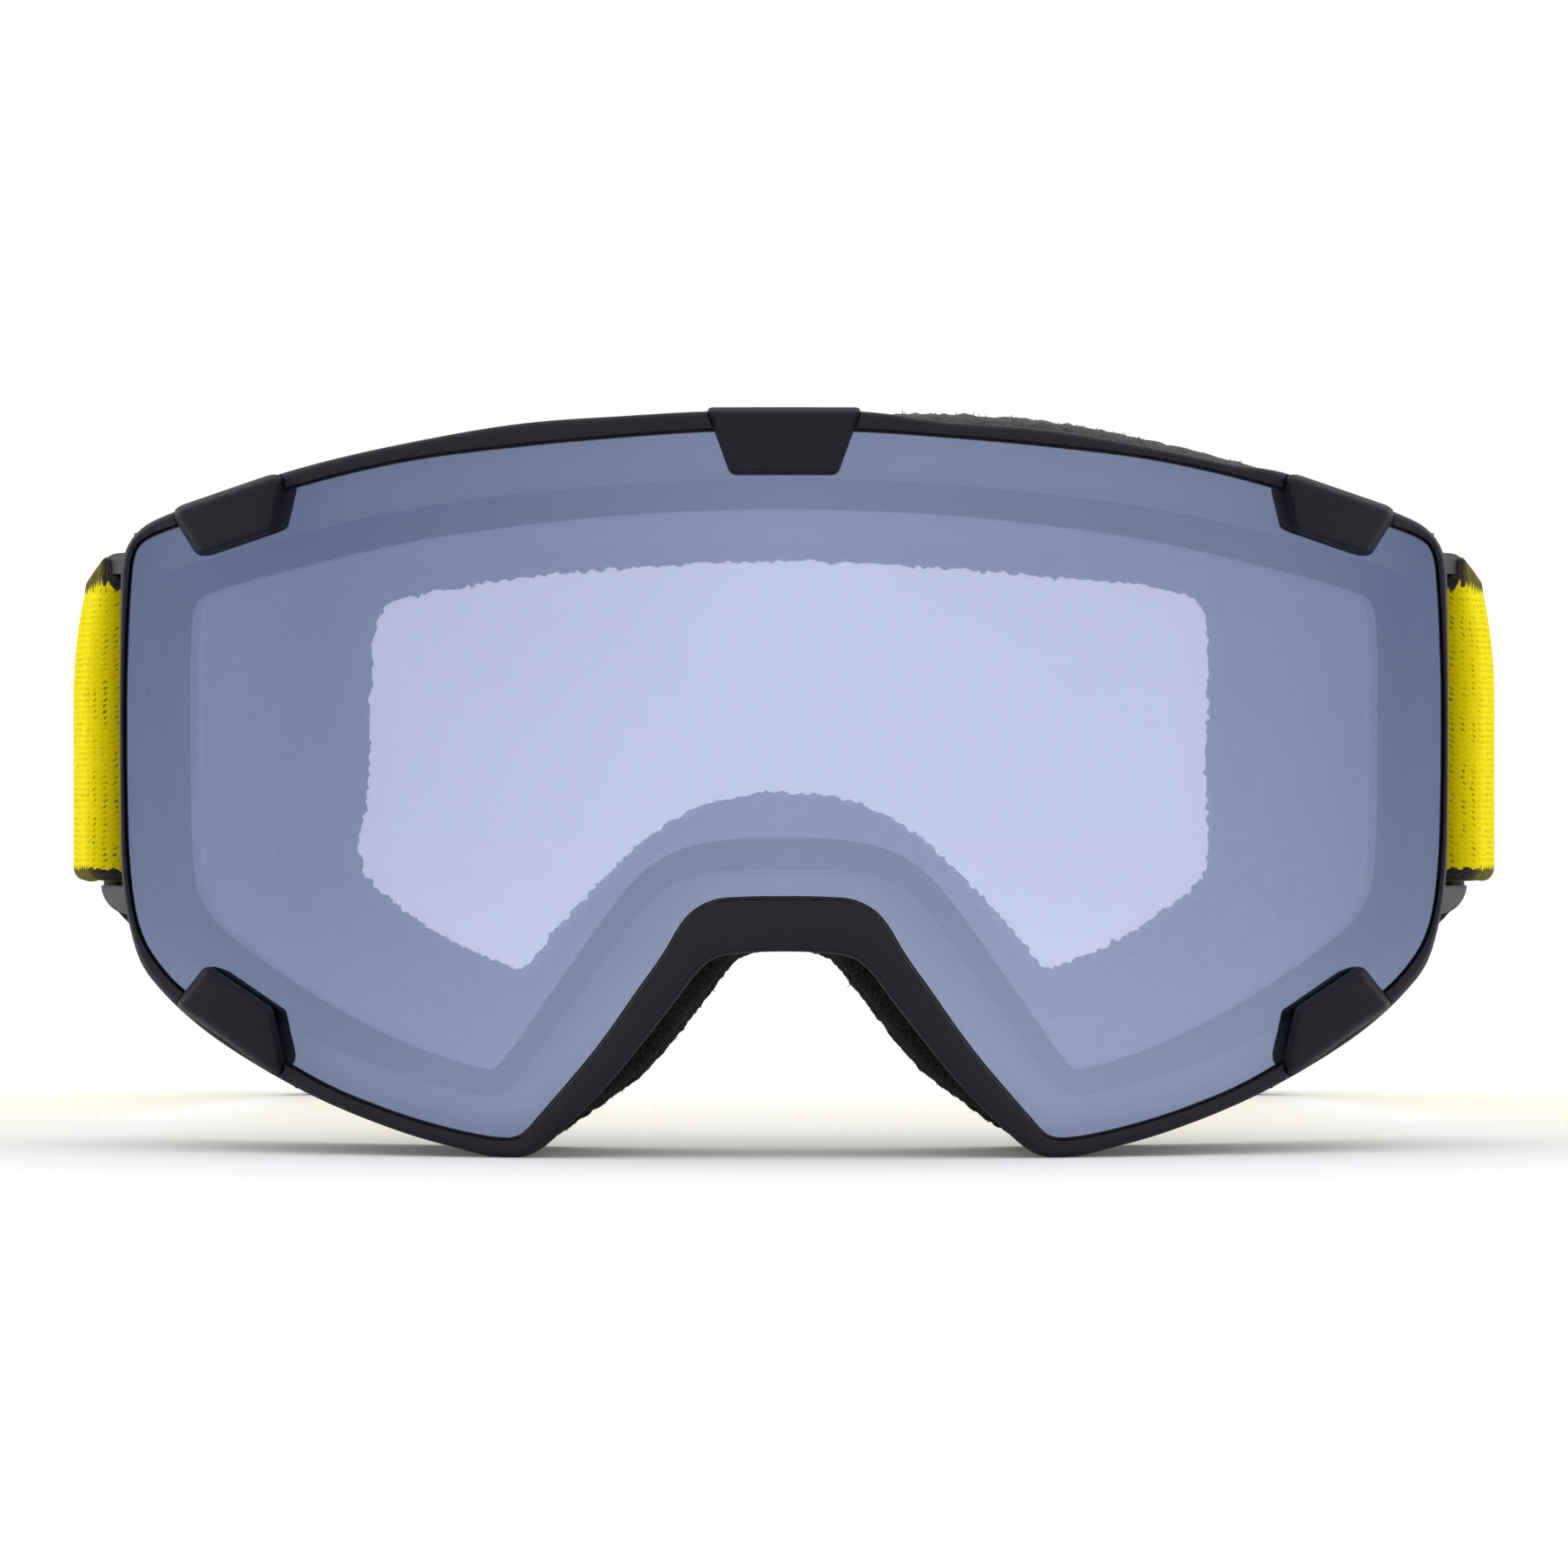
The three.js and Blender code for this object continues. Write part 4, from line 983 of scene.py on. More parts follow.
# ------------------------------------------------------------------ lenses
def plate(name, points, marks, r_front, r_back, edge, mats, rows=18):
    half = half_curve(points, marks)
    nrm = normals(loop_of(half))[: len(half)]
    nrm[0], nrm[-1] = (0, 1), (0, -1)
    half = half - nrm * edge
    half[0, 0] = half[-1, 0] = 0
    k = int(np.argmax(half[:, 0]))
    top, bot = half[: k + 1], half[k:][::-1]
    xs = np.unique(np.round(np.concatenate([top[:, 0], bot[:, 0]]), 3))
    keep = [xs[0]]
    for x in xs[1:-1]:
        if x - keep[-1] > (0.5 if x < half[k, 0] - 3 else 0.05) and half[k, 0] - x > 0.02:
            keep.append(x)
    keep.append(half[k, 0])
    xs = np.array(keep)
    tz = np.interp(xs, top[:, 0], top[:, 1])
    bz = np.interp(xs, bot[:, 0], bot[:, 1])
    X = np.concatenate([-xs[::-1], xs[1:]])
    T = np.concatenate([tz[::-1], tz[1:]])
    B = np.concatenate([bz[::-1], bz[1:]])
    n = len(X)
    verts, faces, kinds = [], [], []
    for side, r in ((0, r_front), (1, r_back)):
        for i in range(n):
            for j in range(rows + 1):
                z = T[i] + (B[i] - T[i]) * j / rows
                verts.append((X[i], AXIS_Y - math.sqrt(r * r - X[i] ** 2), z))
    stride = n * (rows + 1)
    for side in (0, 1):
        o = side * stride
        for i in range(n - 1):
            for j in range(rows):
                a = o + i * (rows + 1) + j
                faces.append((a, a + rows + 1, a + rows + 2, a + 1))
                kinds.append(side)
    # boundary: along the top to the right, back along the bottom
    ring = [i * (rows + 1) for i in range(n)] + [i * (rows + 1) + rows for i in range(n - 2, 0, -1)]
    b2 = np.array([(verts[i][0], verts[i][2]) for i in ring])
    steps = [(edge * 0.7, r_front - 0.12 * edge), (edge, r_front - edge), (edge, r_back + edge), (edge * 0.7, r_back + 0.12 * edge)]
    loops = [ring]
    for d, r in steps:
        start = len(verts)
        g = grow(b2, d)
        for p in on_lens(g, r):
            verts.append(tuple(p))
        loops.append(list(range(start, start + len(ring))))
    loops.append([i + stride for i in ring])
    m = len(ring)
    for a, b in zip(loops, loops[1:]):
        for i in range(m):
            faces.append((a[i], a[(i + 1) % m], b[(i + 1) % m], b[i]))
            kinds.append(2)
    me = bpy.data.meshes.new(name)
    me.from_pydata([tuple(p) for p in to_world(np.array(verts))], [], faces)
    me.polygons.foreach_set("material_index", kinds)
    me.update()
    bm = bmesh.new()
    bm.from_mesh(me)
    bmesh.ops.remove_doubles(bm, verts=bm.verts, dist=2e-6)
    bmesh.ops.recalc_face_normals(bm, faces=bm.faces)
    if bm.calc_volume(signed=True) < 0:
        bmesh.ops.reverse_faces(bm, faces=bm.faces)
    bm.to_mesh(me)
    bm.free()
    me.polygons.foreach_set("use_smooth", [True] * len(me.polygons))
    me.set_sharp_from_angle(angle=math.radians(50))
    ob = bpy.data.objects.new(name, me)
    scene.collection.objects.link(ob)
    for k_ in mats:
        me.materials.append(MAT[k_])
    return ob


def build_gasket():
    o, i = grow(C_GO, -0.1), C_GI
    rings = [
        on_lens(o, 125.6), on_lens(grow(o, -0.35), 126.2), on_lens(o * 0.5 + i * 0.5, 126.35), on_lens(grow(i, 0.35), 126.2), on_lens(i, 125.6),
        on_lens(grow(i, 0.25), 124.8), on_lens(i, 124.0), on_lens(grow(i, 0.3), 123.35), on_lens(o * 0.5 + i * 0.5, 123.3), on_lens(grow(o, -0.3), 123.35), on_lens(o, 124.0), on_lens(grow(o, -0.25), 124.8),
    ]
    return dress(ring_object("lens_gasket_ring", rings), "gasket")


def build_breather():
    x0, z0 = 0.6, 40.0
    prof = [(0.0, 2.3), (1.15, 2.3), (1.25, 2.2), (1.25, 1.95), (1.15, 1.85), (0.62, 1.85), (0.5, 1.95), (0.42, 2.1), (0.0, 2.12)]
    n = 32
    v, f = [], []
    v.append((x0, prof[0][1], z0))
    for r, y in prof[1:-1]:
        for i in range(n):
            a = 2 * math.pi * i / n
            v.append((x0 + r * math.cos(a), y, z0 + r * math.sin(a)))
    v.append((x0, prof[-1][1], z0))
    k = len(prof) - 2
    f += [(0, 1 + i, 1 + (i + 1) % n) for i in range(n)]
    f += ring_faces(k, n, closed=False, offset=1)
    last = len(v) - 1
    f += [(last, 1 + (k - 1) * n + i, 1 + (k - 1) * n + (i + 1) % n) for i in range(n)]
    return dress(new_object("breather_plug", np.array(v), f, angle=50), "membrane")


# ------------------------------------------------------------------ foam
def layer_object(name, outer, inner, d0, d1, mats, bulge=0.4, rough_out=0.2, rough_in=0.3, scale=2.0, seed=1.0, steps=6, lift=None, inner2=None, outer2=None):
    """A band of foam between two outlines and two depths: its edges bulge, and both are a little ragged."""
    rings = []
    inner2 = inner if inner2 is None else inner2
    outer2 = outer if outer2 is None else outer2
    mid = []

    def ring(loop, d, amp, k):
        p = on_back(loop, d)
        n2 = normals(loop)
        a = wobble(p, scale, amp, 3, seed + k * 0.13)
        p[:, 0] += n2[:, 0] * a
        p[:, 2] += n2[:, 1] * a
        b = wobble(p, scale * 1.5, min(amp, 0.5) * 0.5, 2, seed + 9 + k * 0.1)
        p[:, 1] += b
        if lift is not None:
            p[:, 2] += lift(p, d)
        p[:, 2] = np.maximum(p[:, 2], 0.15)
        return p

    # outer face, front to back
    for k in range(steps + 1):
        t = k / steps
        d = d0 + (d1 - d0) * t
        o = outer * (1 - t) + outer2 * t
        edge = -0.55 * (1 - math.sin(math.pi * min(max(t, 0.0), 1.0)) ** 0.5) + bulge * math.sin(math.pi * t)
        rings.append(ring(grow(o, edge), d, rough_out, k))
    # back face
    for t in (0.06, 0.2, 0.4, 0.6, 0.8, 0.94):
        q = outer2 * (1 - t) + inner2 * t
        rings.append(ring(q, d1 + 0.25 * math.sin(math.pi * t), rough_out * 0.5, 20 + t * 10))
    # inner face, back to front
    for k in range(steps + 1):
        t = 1 - k / steps
        d = d0 + (d1 - d0) * t
        o = inner * (1 - t) + inner2 * t
        edge = 0.5 * (1 - math.sin(math.pi * t) ** 0.5) - bulge * 0.5 * math.sin(math.pi * t)
        rings.append(ring(grow(o, edge), d, rough_in, 40 + k))
    for t in (0.9, 0.5, 0.1):
        q = outer * (1 - t) + inner * t
        rings.append(ring(q, d0, rough_out * 0.3, 60 + t * 10))
    ob = ring_object(name, rings)
    return dress(ob, *mats)


def add_fuzz(ob, count, length, seed, where=None):
    """Short tapered fibres rooted in the surface, bent a little at random."""
    me = ob.data
    me.calc_loop_triangles()
    tri = np.array([t.vertices[:] for t in me.loop_triangles])
    co = np.array([v.co[:] for v in me.vertices]) * 1000
    a, b, c = co[tri[:, 0]], co[tri[:, 1]], co[tri[:, 2]]
    cr = np.cross(b - a, c - a)
    area_ = np.linalg.norm(cr, axis=1)
    nrm = cr / (area_[:, None] + 1e-12)
    mid = (a + b + c) / 3
    w = area_ * (where(mid, nrm) if where else 1.0)
    rng = np.random.default_rng(seed)
    pick = rng.choice(len(tri), count, p=w / w.sum())
    r1, r2 = np.sqrt(rng.random(count)), rng.random(count)
    p = (1 - r1)[:, None] * a[pick] + (r1 * (1 - r2))[:, None] * b[pick] + (r1 * r2)[:, None] * c[pick]
    nn = nrm[pick]
    d = nn + rng.normal(0, 0.55, (count, 3))
    d /= np.linalg.norm(d, axis=1)[:, None]
    bend = rng.normal(0, 0.45, (count, 3))
    L = length * (0.45 + 0.75 * rng.random(count))
    up = np.cross(d, rng.normal(0, 1, (count, 3)))
    up /= np.linalg.norm(up, axis=1)[:, None]
    sd = np.cross(d, up)
    rad = 0.075
    verts = np.zeros((count, 7, 3))
    for k in range(3):
        an = 2 * math.pi * k / 3
        off = (up * math.cos(an) + sd * math.sin(an)) * rad
        verts[:, k] = p - nn * 0.15 + off
        verts[:, 3 + k] = p + d * (L * 0.5)[:, None] + bend * (L * 0.18)[:, None] + off * 0.75
    verts[:, 6] = p + d * L[:, None] * 0.95 + bend * (L * 0.6)[:, None]
    verts[:, :, 2] = np.maximum(verts[:, :, 2], 0.05)
    base = len(me.vertices)
    faces = []
    for i in range(count):
        o = base + 7 * i
        for k in range(3):
            j = (k + 1) % 3
            faces.append((o + k, o + j, o + 3 + j, o + 3 + k))
            faces.append((o + 3 + k, o + 3 + j, o + 6))
        faces.append((o + 2, o + 1, o))
    old = [tuple(f.vertices) for f in me.polygons]
    allv = np.concatenate([co, verts.reshape(-1, 3)]) / 1000
    new = bpy.data.meshes.new(me.name)
    new.from_pydata([tuple(v) for v in allv], [], old + faces)
    new.update()
    for m in me.materials:
        new.materials.append(m)
    new.polygons.foreach_set("use_smooth", [True] * len(new.polygons))
    ob.data = new
    bpy.data.meshes.remove(me)


def build_foams():
    outer = C_FOAM.copy()
    outer[:, 1] += 1.5 * np.exp(-((outer[:, 0] / 7.5) ** 2)) * (outer[:, 1] < 40)
    outer = soft_clip(outer, 82.4)
    s_in = grow(C_SEAT, -0.6)

    def mixed(t):
        return s_in * (1 - t) + face * t

    def lift(p, d):
        # the fleece stands proud of the brow along one side
        x, z = p[:, 0], p[:, 2]
        a = np.clip((x - 4) / 14, 0, 1) * np.clip((72 - x) / 9, 0, 1)
        a = a * a * (3 - 2 * a)
        return a * (1.35 + 0.4 * np.exp(-(((x - 38) / 18) ** 2))) * np.clip((z - 80) / 10, 0, 1)

    # the soft layers stand a little wider at the upper corners
    face = C_FACE.copy()
    k = np.clip((face[:, 1] - 40) / 28, 0, 1) * np.clip((face[:, 0] - 16) / 34, 0, 1)
    face[:, 0] += 2.4 * k
    face[:, 1] += 0.95 * np.clip((face[:, 1] - 50) / 18, 0, 1) * np.clip((face[:, 0] - 36) / 12, 0, 1)
    face[:, 0] -= 0.55 * np.clip((face[:, 1] - 50) / 18, 0, 1) * np.clip((-face[:, 0] - 40) / 12, 0, 1)

    base = layer_object("foam_firm_layer", grow(outer, -0.2), mixed(0.12), 0.1, 5.05, ("foam_firm",), 0.15, 0.08, 0.12, 2.0, 3.0, 4, inner2=mixed(0.42))
    soft = layer_object("foam_soft_layer", outer, mixed(0.42), 5.1, 13.6, ("foam",), 0.55, 0.6, 0.7, 1.6, 7.0, 8, inner2=mixed(0.9))
    fleece = layer_object("fleece_layer", grow(outer, 0.15), mixed(0.9), 13.65, 17.0, ("fleece",), 0.5, 0.7, 1.2, 0.8, 12.0, 6, lift=lift, inner2=face)
    add_fuzz(fleece, 16000, 0.5, 21)
    return base, soft, fleece


def interp_z(points, x):
    x = abs(x)
    for (x0, z0), (x1, z1) in zip(points, points[1:]):
        if min(x0, x1) <= x <= max(x0, x1) and x0 != x1:
            return z0 + (z1 - z0) * (x - x0) / (x1 - x0)
    return points[0][1]


def vent_strip(name, x0, x1, zfun, toward, steps):
    xs = np.linspace(x0, x1, steps + 1)
    rings = []
    for i, x in enumerate(xs):
        ya, yb = seat_back_y(x) + 0.5, BACK_Y + BACK_R - math.sqrt(BACK_R ** 2 - x * x) - 2.5
        z = zfun(x)
        prof = []
        for k in range(9):
            prof.append((ya + (yb - ya) * k / 8, 3.15 + 0.12 * math.sin(k * 2.1)))
        for k in range(9):
            prof.append((yb - (yb - ya) * k / 8, 6.2))
        rings.append([(x, y, z + toward * d) for y, d in prof])
    n = len(rings[0])
    v = np.array([p for r_ in rings for p in r_])
    v[:, 2] += wobble(v, 1.6, 0.3, 2, 4.0)
    f = ring_faces(len(rings), n, closed=False)
    f += [tuple(range(n)), tuple(range(len(v) - 1, len(v) - n - 1, -1))]
    return dress(new_object(name, v, f, angle=50), "vent")


# ------------------------------------------------------------------ strap
TL = math.hypot(1, TAIL_SLOPE)
ALONG = (-TAIL_SLOPE / TL, 1 / TL)
INWARD = (-1 / TL, -TAIL_SLOPE / TL)


def tail_x(y):
    return TAIL_X - TAIL_SLOPE * (y - TAIL_Y)


def drop(y):
    y = np.asarray(y, float)
    a = 0.207 * (y - 84) ** 2 / 48
    b = 0.207 * 12 + 0.207 * (y - 108)
    return np.where(y <= 84, 0, np.where(y <= 108, a, b))


END_R = END_BAR_R + 0.4 + STRAP_T / 2
END_BAR = (tail_x(END_BAR_Y) + INWARD[0] * END_R, END_BAR_Y + INWARD[1] * END_R)


def layer_pt(y, k):
    return (tail_x(y) + INWARD[0] * k, y + INWARD[1] * k)


def spline3(points, step=1.4):
    """Centripetal Catmull-Rom through 2-D points, then even steps."""
    p = np.array(points, float)
    q = np.vstack([2 * p[0] - p[1], p, 2 * p[-1] - p[-2]])
    out = []
    for i in range(1, len(q) - 2):
        p0, p1, p2, p3 = q[i - 1], q[i], q[i + 1], q[i + 2]
        t1 = math.sqrt(np.linalg.norm(p1 - p0)); t2 = t1 + math.sqrt(np.linalg.norm(p2 - p1)); t3 = t2 + math.sqrt(np.linalg.norm(p3 - p2))
        for k in range(14):
            t = t1 + (t2 - t1) * k / 14
            a1 = (t1 - t) / t1 * p0 + t / t1 * p1
            a2 = (t2 - t) / (t2 - t1) * p1 + (t - t1) / (t2 - t1) * p2
            a3 = (t3 - t) / (t3 - t2) * p2 + (t - t2) / (t3 - t2) * p3
            b1 = (t2 - t) / t2 * a1 + t / t2 * a2
            b2 = (t3 - t) / (t3 - t1) * a2 + (t - t1) / (t3 - t1) * a3
            out.append((t2 - t) / (t2 - t1) * b1 + (t - t1) / (t2 - t1) * b2)
    out.append(p[-1])
    line = np.array(out)
    length = np.sum(np.linalg.norm(np.diff(line, axis=0), axis=1))
    return resample(line, max(6, int(length / step)))


def ribbon(name, path, s, z0=STRAP_Z[0], z1=STRAP_Z[1], thick=STRAP_T, u0=0.0, seed=0.0, rib=0.022, curl=None):
    """A knit band that stands on edge along a plan path: ribs along its length and thicker woven edges."""
    n = len(path)
    t = np.gradient(path, axis=0)
    t /= np.linalg.norm(t, axis=1)[:, None]
    nr = np.stack([-t[:, 1], t[:, 0]], 1)
    s_len = np.concatenate([[0], np.cumsum(np.linalg.norm(np.diff(path, axis=0), axis=1))]) + u0
    half = (z1 - z0) / 2
    zc = (z0 + z1) / 2
    # profile round the section: v across the strap, w through it
    vs = np.linspace(-half + 0.5, half - 0.5, 166)
    face = []
    for v in vs:
        edge = max(0.0, 1 - (half - abs(v)) / 1.7)
        w = thick / 2 - 0.06 + rib * (abs(math.sin(math.pi * v / 0.74)) ** 0.7) * (1 - 0.6 * edge) + 0.12 * edge ** 0.5
        face.append((v, w))
    cap = [(half - 0.17, thick / 2 - 0.1), (half - 0.02, thick / 4), (half + 0.02, 0), (half - 0.02, -thick / 4), (half - 0.17, -thick / 2 + 0.1)]
    prof = face + cap + [(v, -w) for v, w in reversed(face)] + [(-v, w) for v, w in reversed([(c[0], c[1]) for c in cap])][::1]
    # the last cap runs from the back face to the front face along the lower edge
    prof = face + cap + [(v, -w) for v, w in reversed(face)] + [(-c[0], c[1]) for c in reversed(cap)]
    m = len(prof)
    verts, uvs = [], []
    rngs = [fbm((i * 0.9, 3.1, seed), 6.0, 2) for i in range(n)]
    for i in range(n):
        for v, w in prof:
            # the edges of an elastic band are never dead straight
            ev = 0.22 * noise.noise(Vector((s_len[i] / 5.5, seed, 1.0 if v > 0 else 5.0))) * min(1, abs(v) / half) ** 3
            x = path[i, 0] + nr[i, 0] * (w + 0.12 * rngs[i])
            y = path[i, 1] + nr[i, 1] * (w + 0.12 * rngs[i])
            zz = zc + v + ev
            if curl is not None:
                dx, dz = curl(path[i], s_len[i], zz)
                x, zz = x + dx, zz + dz
            verts.append((x, y, zz - float(drop(y))))
            uvs.append((s_len[i] / 100, v / 100))
    verts = np.array(verts)
    verts[:, 0] *= s
    faces = ring_faces(n, m, closed=False)
    me = bpy.data.meshes.new(name)
    me.from_pydata([tuple(p) for p in to_world(verts)], [], faces + [tuple(range(m)), tuple(range(n * m - 1, n * m - m - 1, -1))])
    me.update()
    uvl = me.uv_layers.new(name="strap")
    li = np.zeros(len(me.loops), dtype=np.int32)
    me.loops.foreach_get("vertex_index", li)
    uva = np.array(uvs)[li]
    uvl.data.foreach_set("uv", uva.ravel())
    bm = bmesh.new()
    bm.from_mesh(me)
    if bm.calc_volume(signed=True) < 0:
        bmesh.ops.reverse_faces(bm, faces=bm.faces)
    bmesh.ops.triangulate(bm, faces=[f for f in bm.faces if len(f.verts) > 4])
    bm.to_mesh(me)
    bm.free()
    me.polygons.foreach_set("use_smooth", [True] * len(me.polygons))
    me.set_sharp_from_angle(angle=math.radians(80))
    ob = bpy.data.objects.new(name, me)
    scene.collection.objects.link(ob)
    return dress(ob, "knit")


def main_path():
    r = 1.6 + 0.4 + STRAP_T / 2
    p = [(BAR[0] - r + 0.25, 63.5), (BAR[0] - r - 0.02, 60.5)]
    for a in range(180, 361, 15):
        t = math.radians(a)
        p.append((BAR[0] + r * math.cos(t), BAR[1] + r * math.sin(t)))
    p += [(94.3, 61.3), (95.3, 65.6), (95.9, 70.5), (96.0, 75.0), (95.75, 80), (95.0, 88), (tail_x(98), 98), (tail_x(108), 108), (tail_x(140), 140), (tail_x(200), 200), (tail_x(240), 240), (tail_x(247), 247)]
    base = math.atan2(-INWARD[1], -INWARD[0])
    for a in range(0, 181, 15):
        t = base + math.radians(a)
        p.append((END_BAR[0] + END_R * math.cos(t), END_BAR[1] + END_R * math.sin(t)))
    p += [layer_pt(246.5, 4.6), layer_pt(242.5, 2.9), layer_pt(239, 1.95), layer_pt(234, 1.72), layer_pt(228, 1.72)]
    return spline3(p, 1.3)


def sm(t):
    t = min(1.0, max(0.0, t))
    return t * t * (3 - 2 * t)


def band_curl(p, s_, z):
    """The band bows out in the middle, leans in at its upper edge and climbs a little as it turns round the bar."""
    x, y = p
    # on the outer layer only, and dying away along the tail
    on = sm((x - 91.0) / 2.2) * sm((118 - y) / 30)
    dx = 0.35 - 1.9 * max(0.0, (z - 60) / 16) ** 2 - 0.9 * max(0.0, (37.3 - z) / 2.0) ** 2
    climb = 2.9 * sm((x - 90.3) / 0.8) * sm((96.4 - x) / 4.2) if y < 75 else 0.0
    dz = climb * sm((z - 73.4) / 2.4)
    return dx * on, dz




def inner_path():
    r = 1.6 + 0.4 + STRAP_T / 2
    p = [(BAR[0] - r + 0.25, 63.5), (88.6, 70), (90.1, 79.5), (91.1, 88), layer_pt(99, 1.85), layer_pt(109, 1.78), layer_pt(119, 1.85)]
    cx, cy = layer_pt(123.0, 4.25)
    rb = 2.35
    base = math.atan2(-INWARD[1], -INWARD[0])
    for a in range(-10, 191, 20):
        t = base + math.radians(a)
        p.append((cx + rb * math.cos(t), cy + rb * math.sin(t)))
    p += [layer_pt(119.5, 5.6), layer_pt(115.5, 4.0), layer_pt(112, 3.5), layer_pt(104, 3.45)]
    return spline3(p, 1.3)


def path_z(y, z):
    return z - float(drop(y))


def stitches(name, y0, y1, v_in, s, rows=4, vs=(-16, 16), body_side=-1, step=1.5):
    """Bar-tack threads: short capsules in zigzag rows across the band, on both faces of the layers they hold."""
    verts, faces = [], []
    n = 8

    def capsule(a, b, r=0.2):
        a, b = Vector(a), Vector(b)
        d = (b - a).normalized()
        up = Vector((0, 0, 1)) if abs(d.z) < 0.9 else Vector((1, 0, 0))
        e1 = d.cross(up).normalized()
        e2 = d.cross(e1)
        base = len(verts)
        for c, rr in ((a - d * r * 0.6, r * 0.45), (a, r), (b, r), (b + d * r * 0.6, r * 0.45)):
            for i in range(n):
                q = c + (e1 * math.cos(2 * math.pi * i / n) + e2 * math.sin(2 * math.pi * i / n)) * rr
                verts.append(tuple(q))
        faces.extend(ring_faces(4, n, closed=False, offset=base))
        faces.append(tuple(base + i for i in range(n)))
        faces.append(tuple(base + 3 * n + n - 1 - i for i in range(n)))

    for v_face in v_in:
        for r_ in range(rows):
            y = y0 + (y1 - y0) * r_ / max(1, rows - 1)
            z = vs[0]
            k = 0
            while z < vs[1]:
                ya, yb = (y - 0.55, y + 0.55) if k % 2 else (y + 0.55, y - 0.55)
                pa, pb = layer_pt(ya, v_face), layer_pt(yb, v_face)
                za, zb = 55.7 + z, 55.7 + z + step
                capsule((s * pa[0], pa[1], path_z(pa[1], za)), (s * pb[0], pb[1], path_z(pb[1], zb)))
                z += step
                k += 1
    return dress(new_object(name, np.array(verts), faces, angle=60), "thread")


def grip_bead(name, s, zc):
    """Two wavy lines of silicone printed on the inside of the strap."""
    verts, faces = [], []
    for off, ph in ((-1.05, 0.0), (1.05, math.pi)):
        n = 150
        prof = []
        for k in range(9):
            a = math.pi * k / 8
            prof.append((0.62 * math.cos(a), 0.45 * math.sin(a)))
        prof.append((0.0, -0.12))
        m = len(prof)
        base = len(verts)
        for i in range(n + 1):
            y = 178 + 46 * i / n
            c = off + 0.75 * math.sin(2 * math.pi * y / 9.2 + ph)
            slope = 0.75 * math.cos(2 * math.pi * y / 9.2 + ph) * 2 * math.pi / 9.2
            end = min(1.0, min(i, n - i) / 3 + 0.15)
            for a, b in prof:
                x_, y_ = layer_pt(y - slope * a * 0.6, STRAP_T / 2 + 0.06 + max(b, -0.1) * end)
                verts.append((s * x_, y_, path_z(y_, zc + c + a * end)))
        faces.extend(ring_faces(n + 1, m, closed=False, offset=base))
        faces.append(tuple(base + i for i in range(m)))
        faces.append(tuple(base + n * m + m - 1 - i for i in range(m)))
    return dress(new_object(name, np.array(verts), faces, angle=70), "silicone")


# ------------------------------------------------------------------ hardware
def tail_box(name, y_ref, u0, u1, v0, v1, z0, z1, s, sheared=True):
    """A box in the strap's own frame: u along the tail, v outwards, its ends parallel to the drooping edges."""
    c = (tail_x(y_ref), y_ref)
    pts = []
    for u, v in ((u0, v0), (u1, v0), (u1, v1), (u0, v1)):
        pts.append((c[0] + ALONG[0] * u - INWARD[0] * v, c[1] + ALONG[1] * u - INWARD[1] * v))
    lo = [(s * x, y, z0 - (float(drop(y)) if sheared else 0)) for x, y in pts]
    hi = [(s * x, y, z1 - (float(drop(y)) if sheared else 0)) for x, y in pts]
    faces = [(0, 1, 2, 3), (7, 6, 5, 4), (0, 1, 5, 4), (1, 2, 6, 5), (2, 3, 7, 6), (3, 0, 4, 7)]
    return new_object(name, np.array(lo + hi), faces, smooth=False)


def build_slider(s):
    z0, z1 = STRAP_Z
    L0 = 14.0
    # two rails joined by bars, as one solid
    top = tail_box("slider_body", 116, 0, L0, -5.7, 2.6, z1 + 0.42, z1 + 1.9, s)
    bot = tail_box("b", 116, 0, L0, -5.7, 2.6, z0 - 1.9, z0 - 0.42, s)
    b1 = tail_box("b", 116, 0.05, 3.2, 1.2, 2.55, z0 - 1.2, z1 + 1.2, s)
    b2 = tail_box("b", 116, L0 - 3.2, L0 - 0.05, 1.2, 2.55, z0 - 1.2, z1 + 1.2, s)
    b3 = tail_box("b", 116, L0 / 2 - 1.35, L0 / 2 + 1.35, -5.5, -3.0, z0 - 1.2, z1 + 1.2, s)
    boolean(top, [bot], "UNION")
    boolean(top, [b1, b2, b3], "UNION")
    cuts = []
    for za, zb in ((z0 - 0.5, z0 - 3.2), (z1 + 0.5, z1 + 3.2)):
        # a wedge off the outer corner of each rail, running with the droop
        c = (tail_x(116), 116)
        pts = []
        for u in (-0.5, 5.0, 10.0, L0 + 0.5):
            y = c[1] + ALONG[1] * u
            for v_, z in ((2.9, za), (4.5, za), (4.5, zb), (0.2, zb)):
                pts.append((s * (c[0] + ALONG[0] * u - INWARD[0] * v_), y - INWARD[1] * v_, z - float(drop(y))))
        f = [(0, 1, 2, 3), (15, 14, 13, 12)]
        for k in range(3):
            f += [(4 * k + i, 4 * k + (i + 1) % 4, 4 * k + 4 + (i + 1) % 4, 4 * k + 4 + i) for i in range(4)]
        cuts.append(new_object("cut", np.array(pts), f, smooth=False))
    boolean(top, cuts, "DIFFERENCE")
    bevel(top, 0.4, 4, 30)
    clean(top)
    return finish_mesh(dress(top, "clip"), 32)


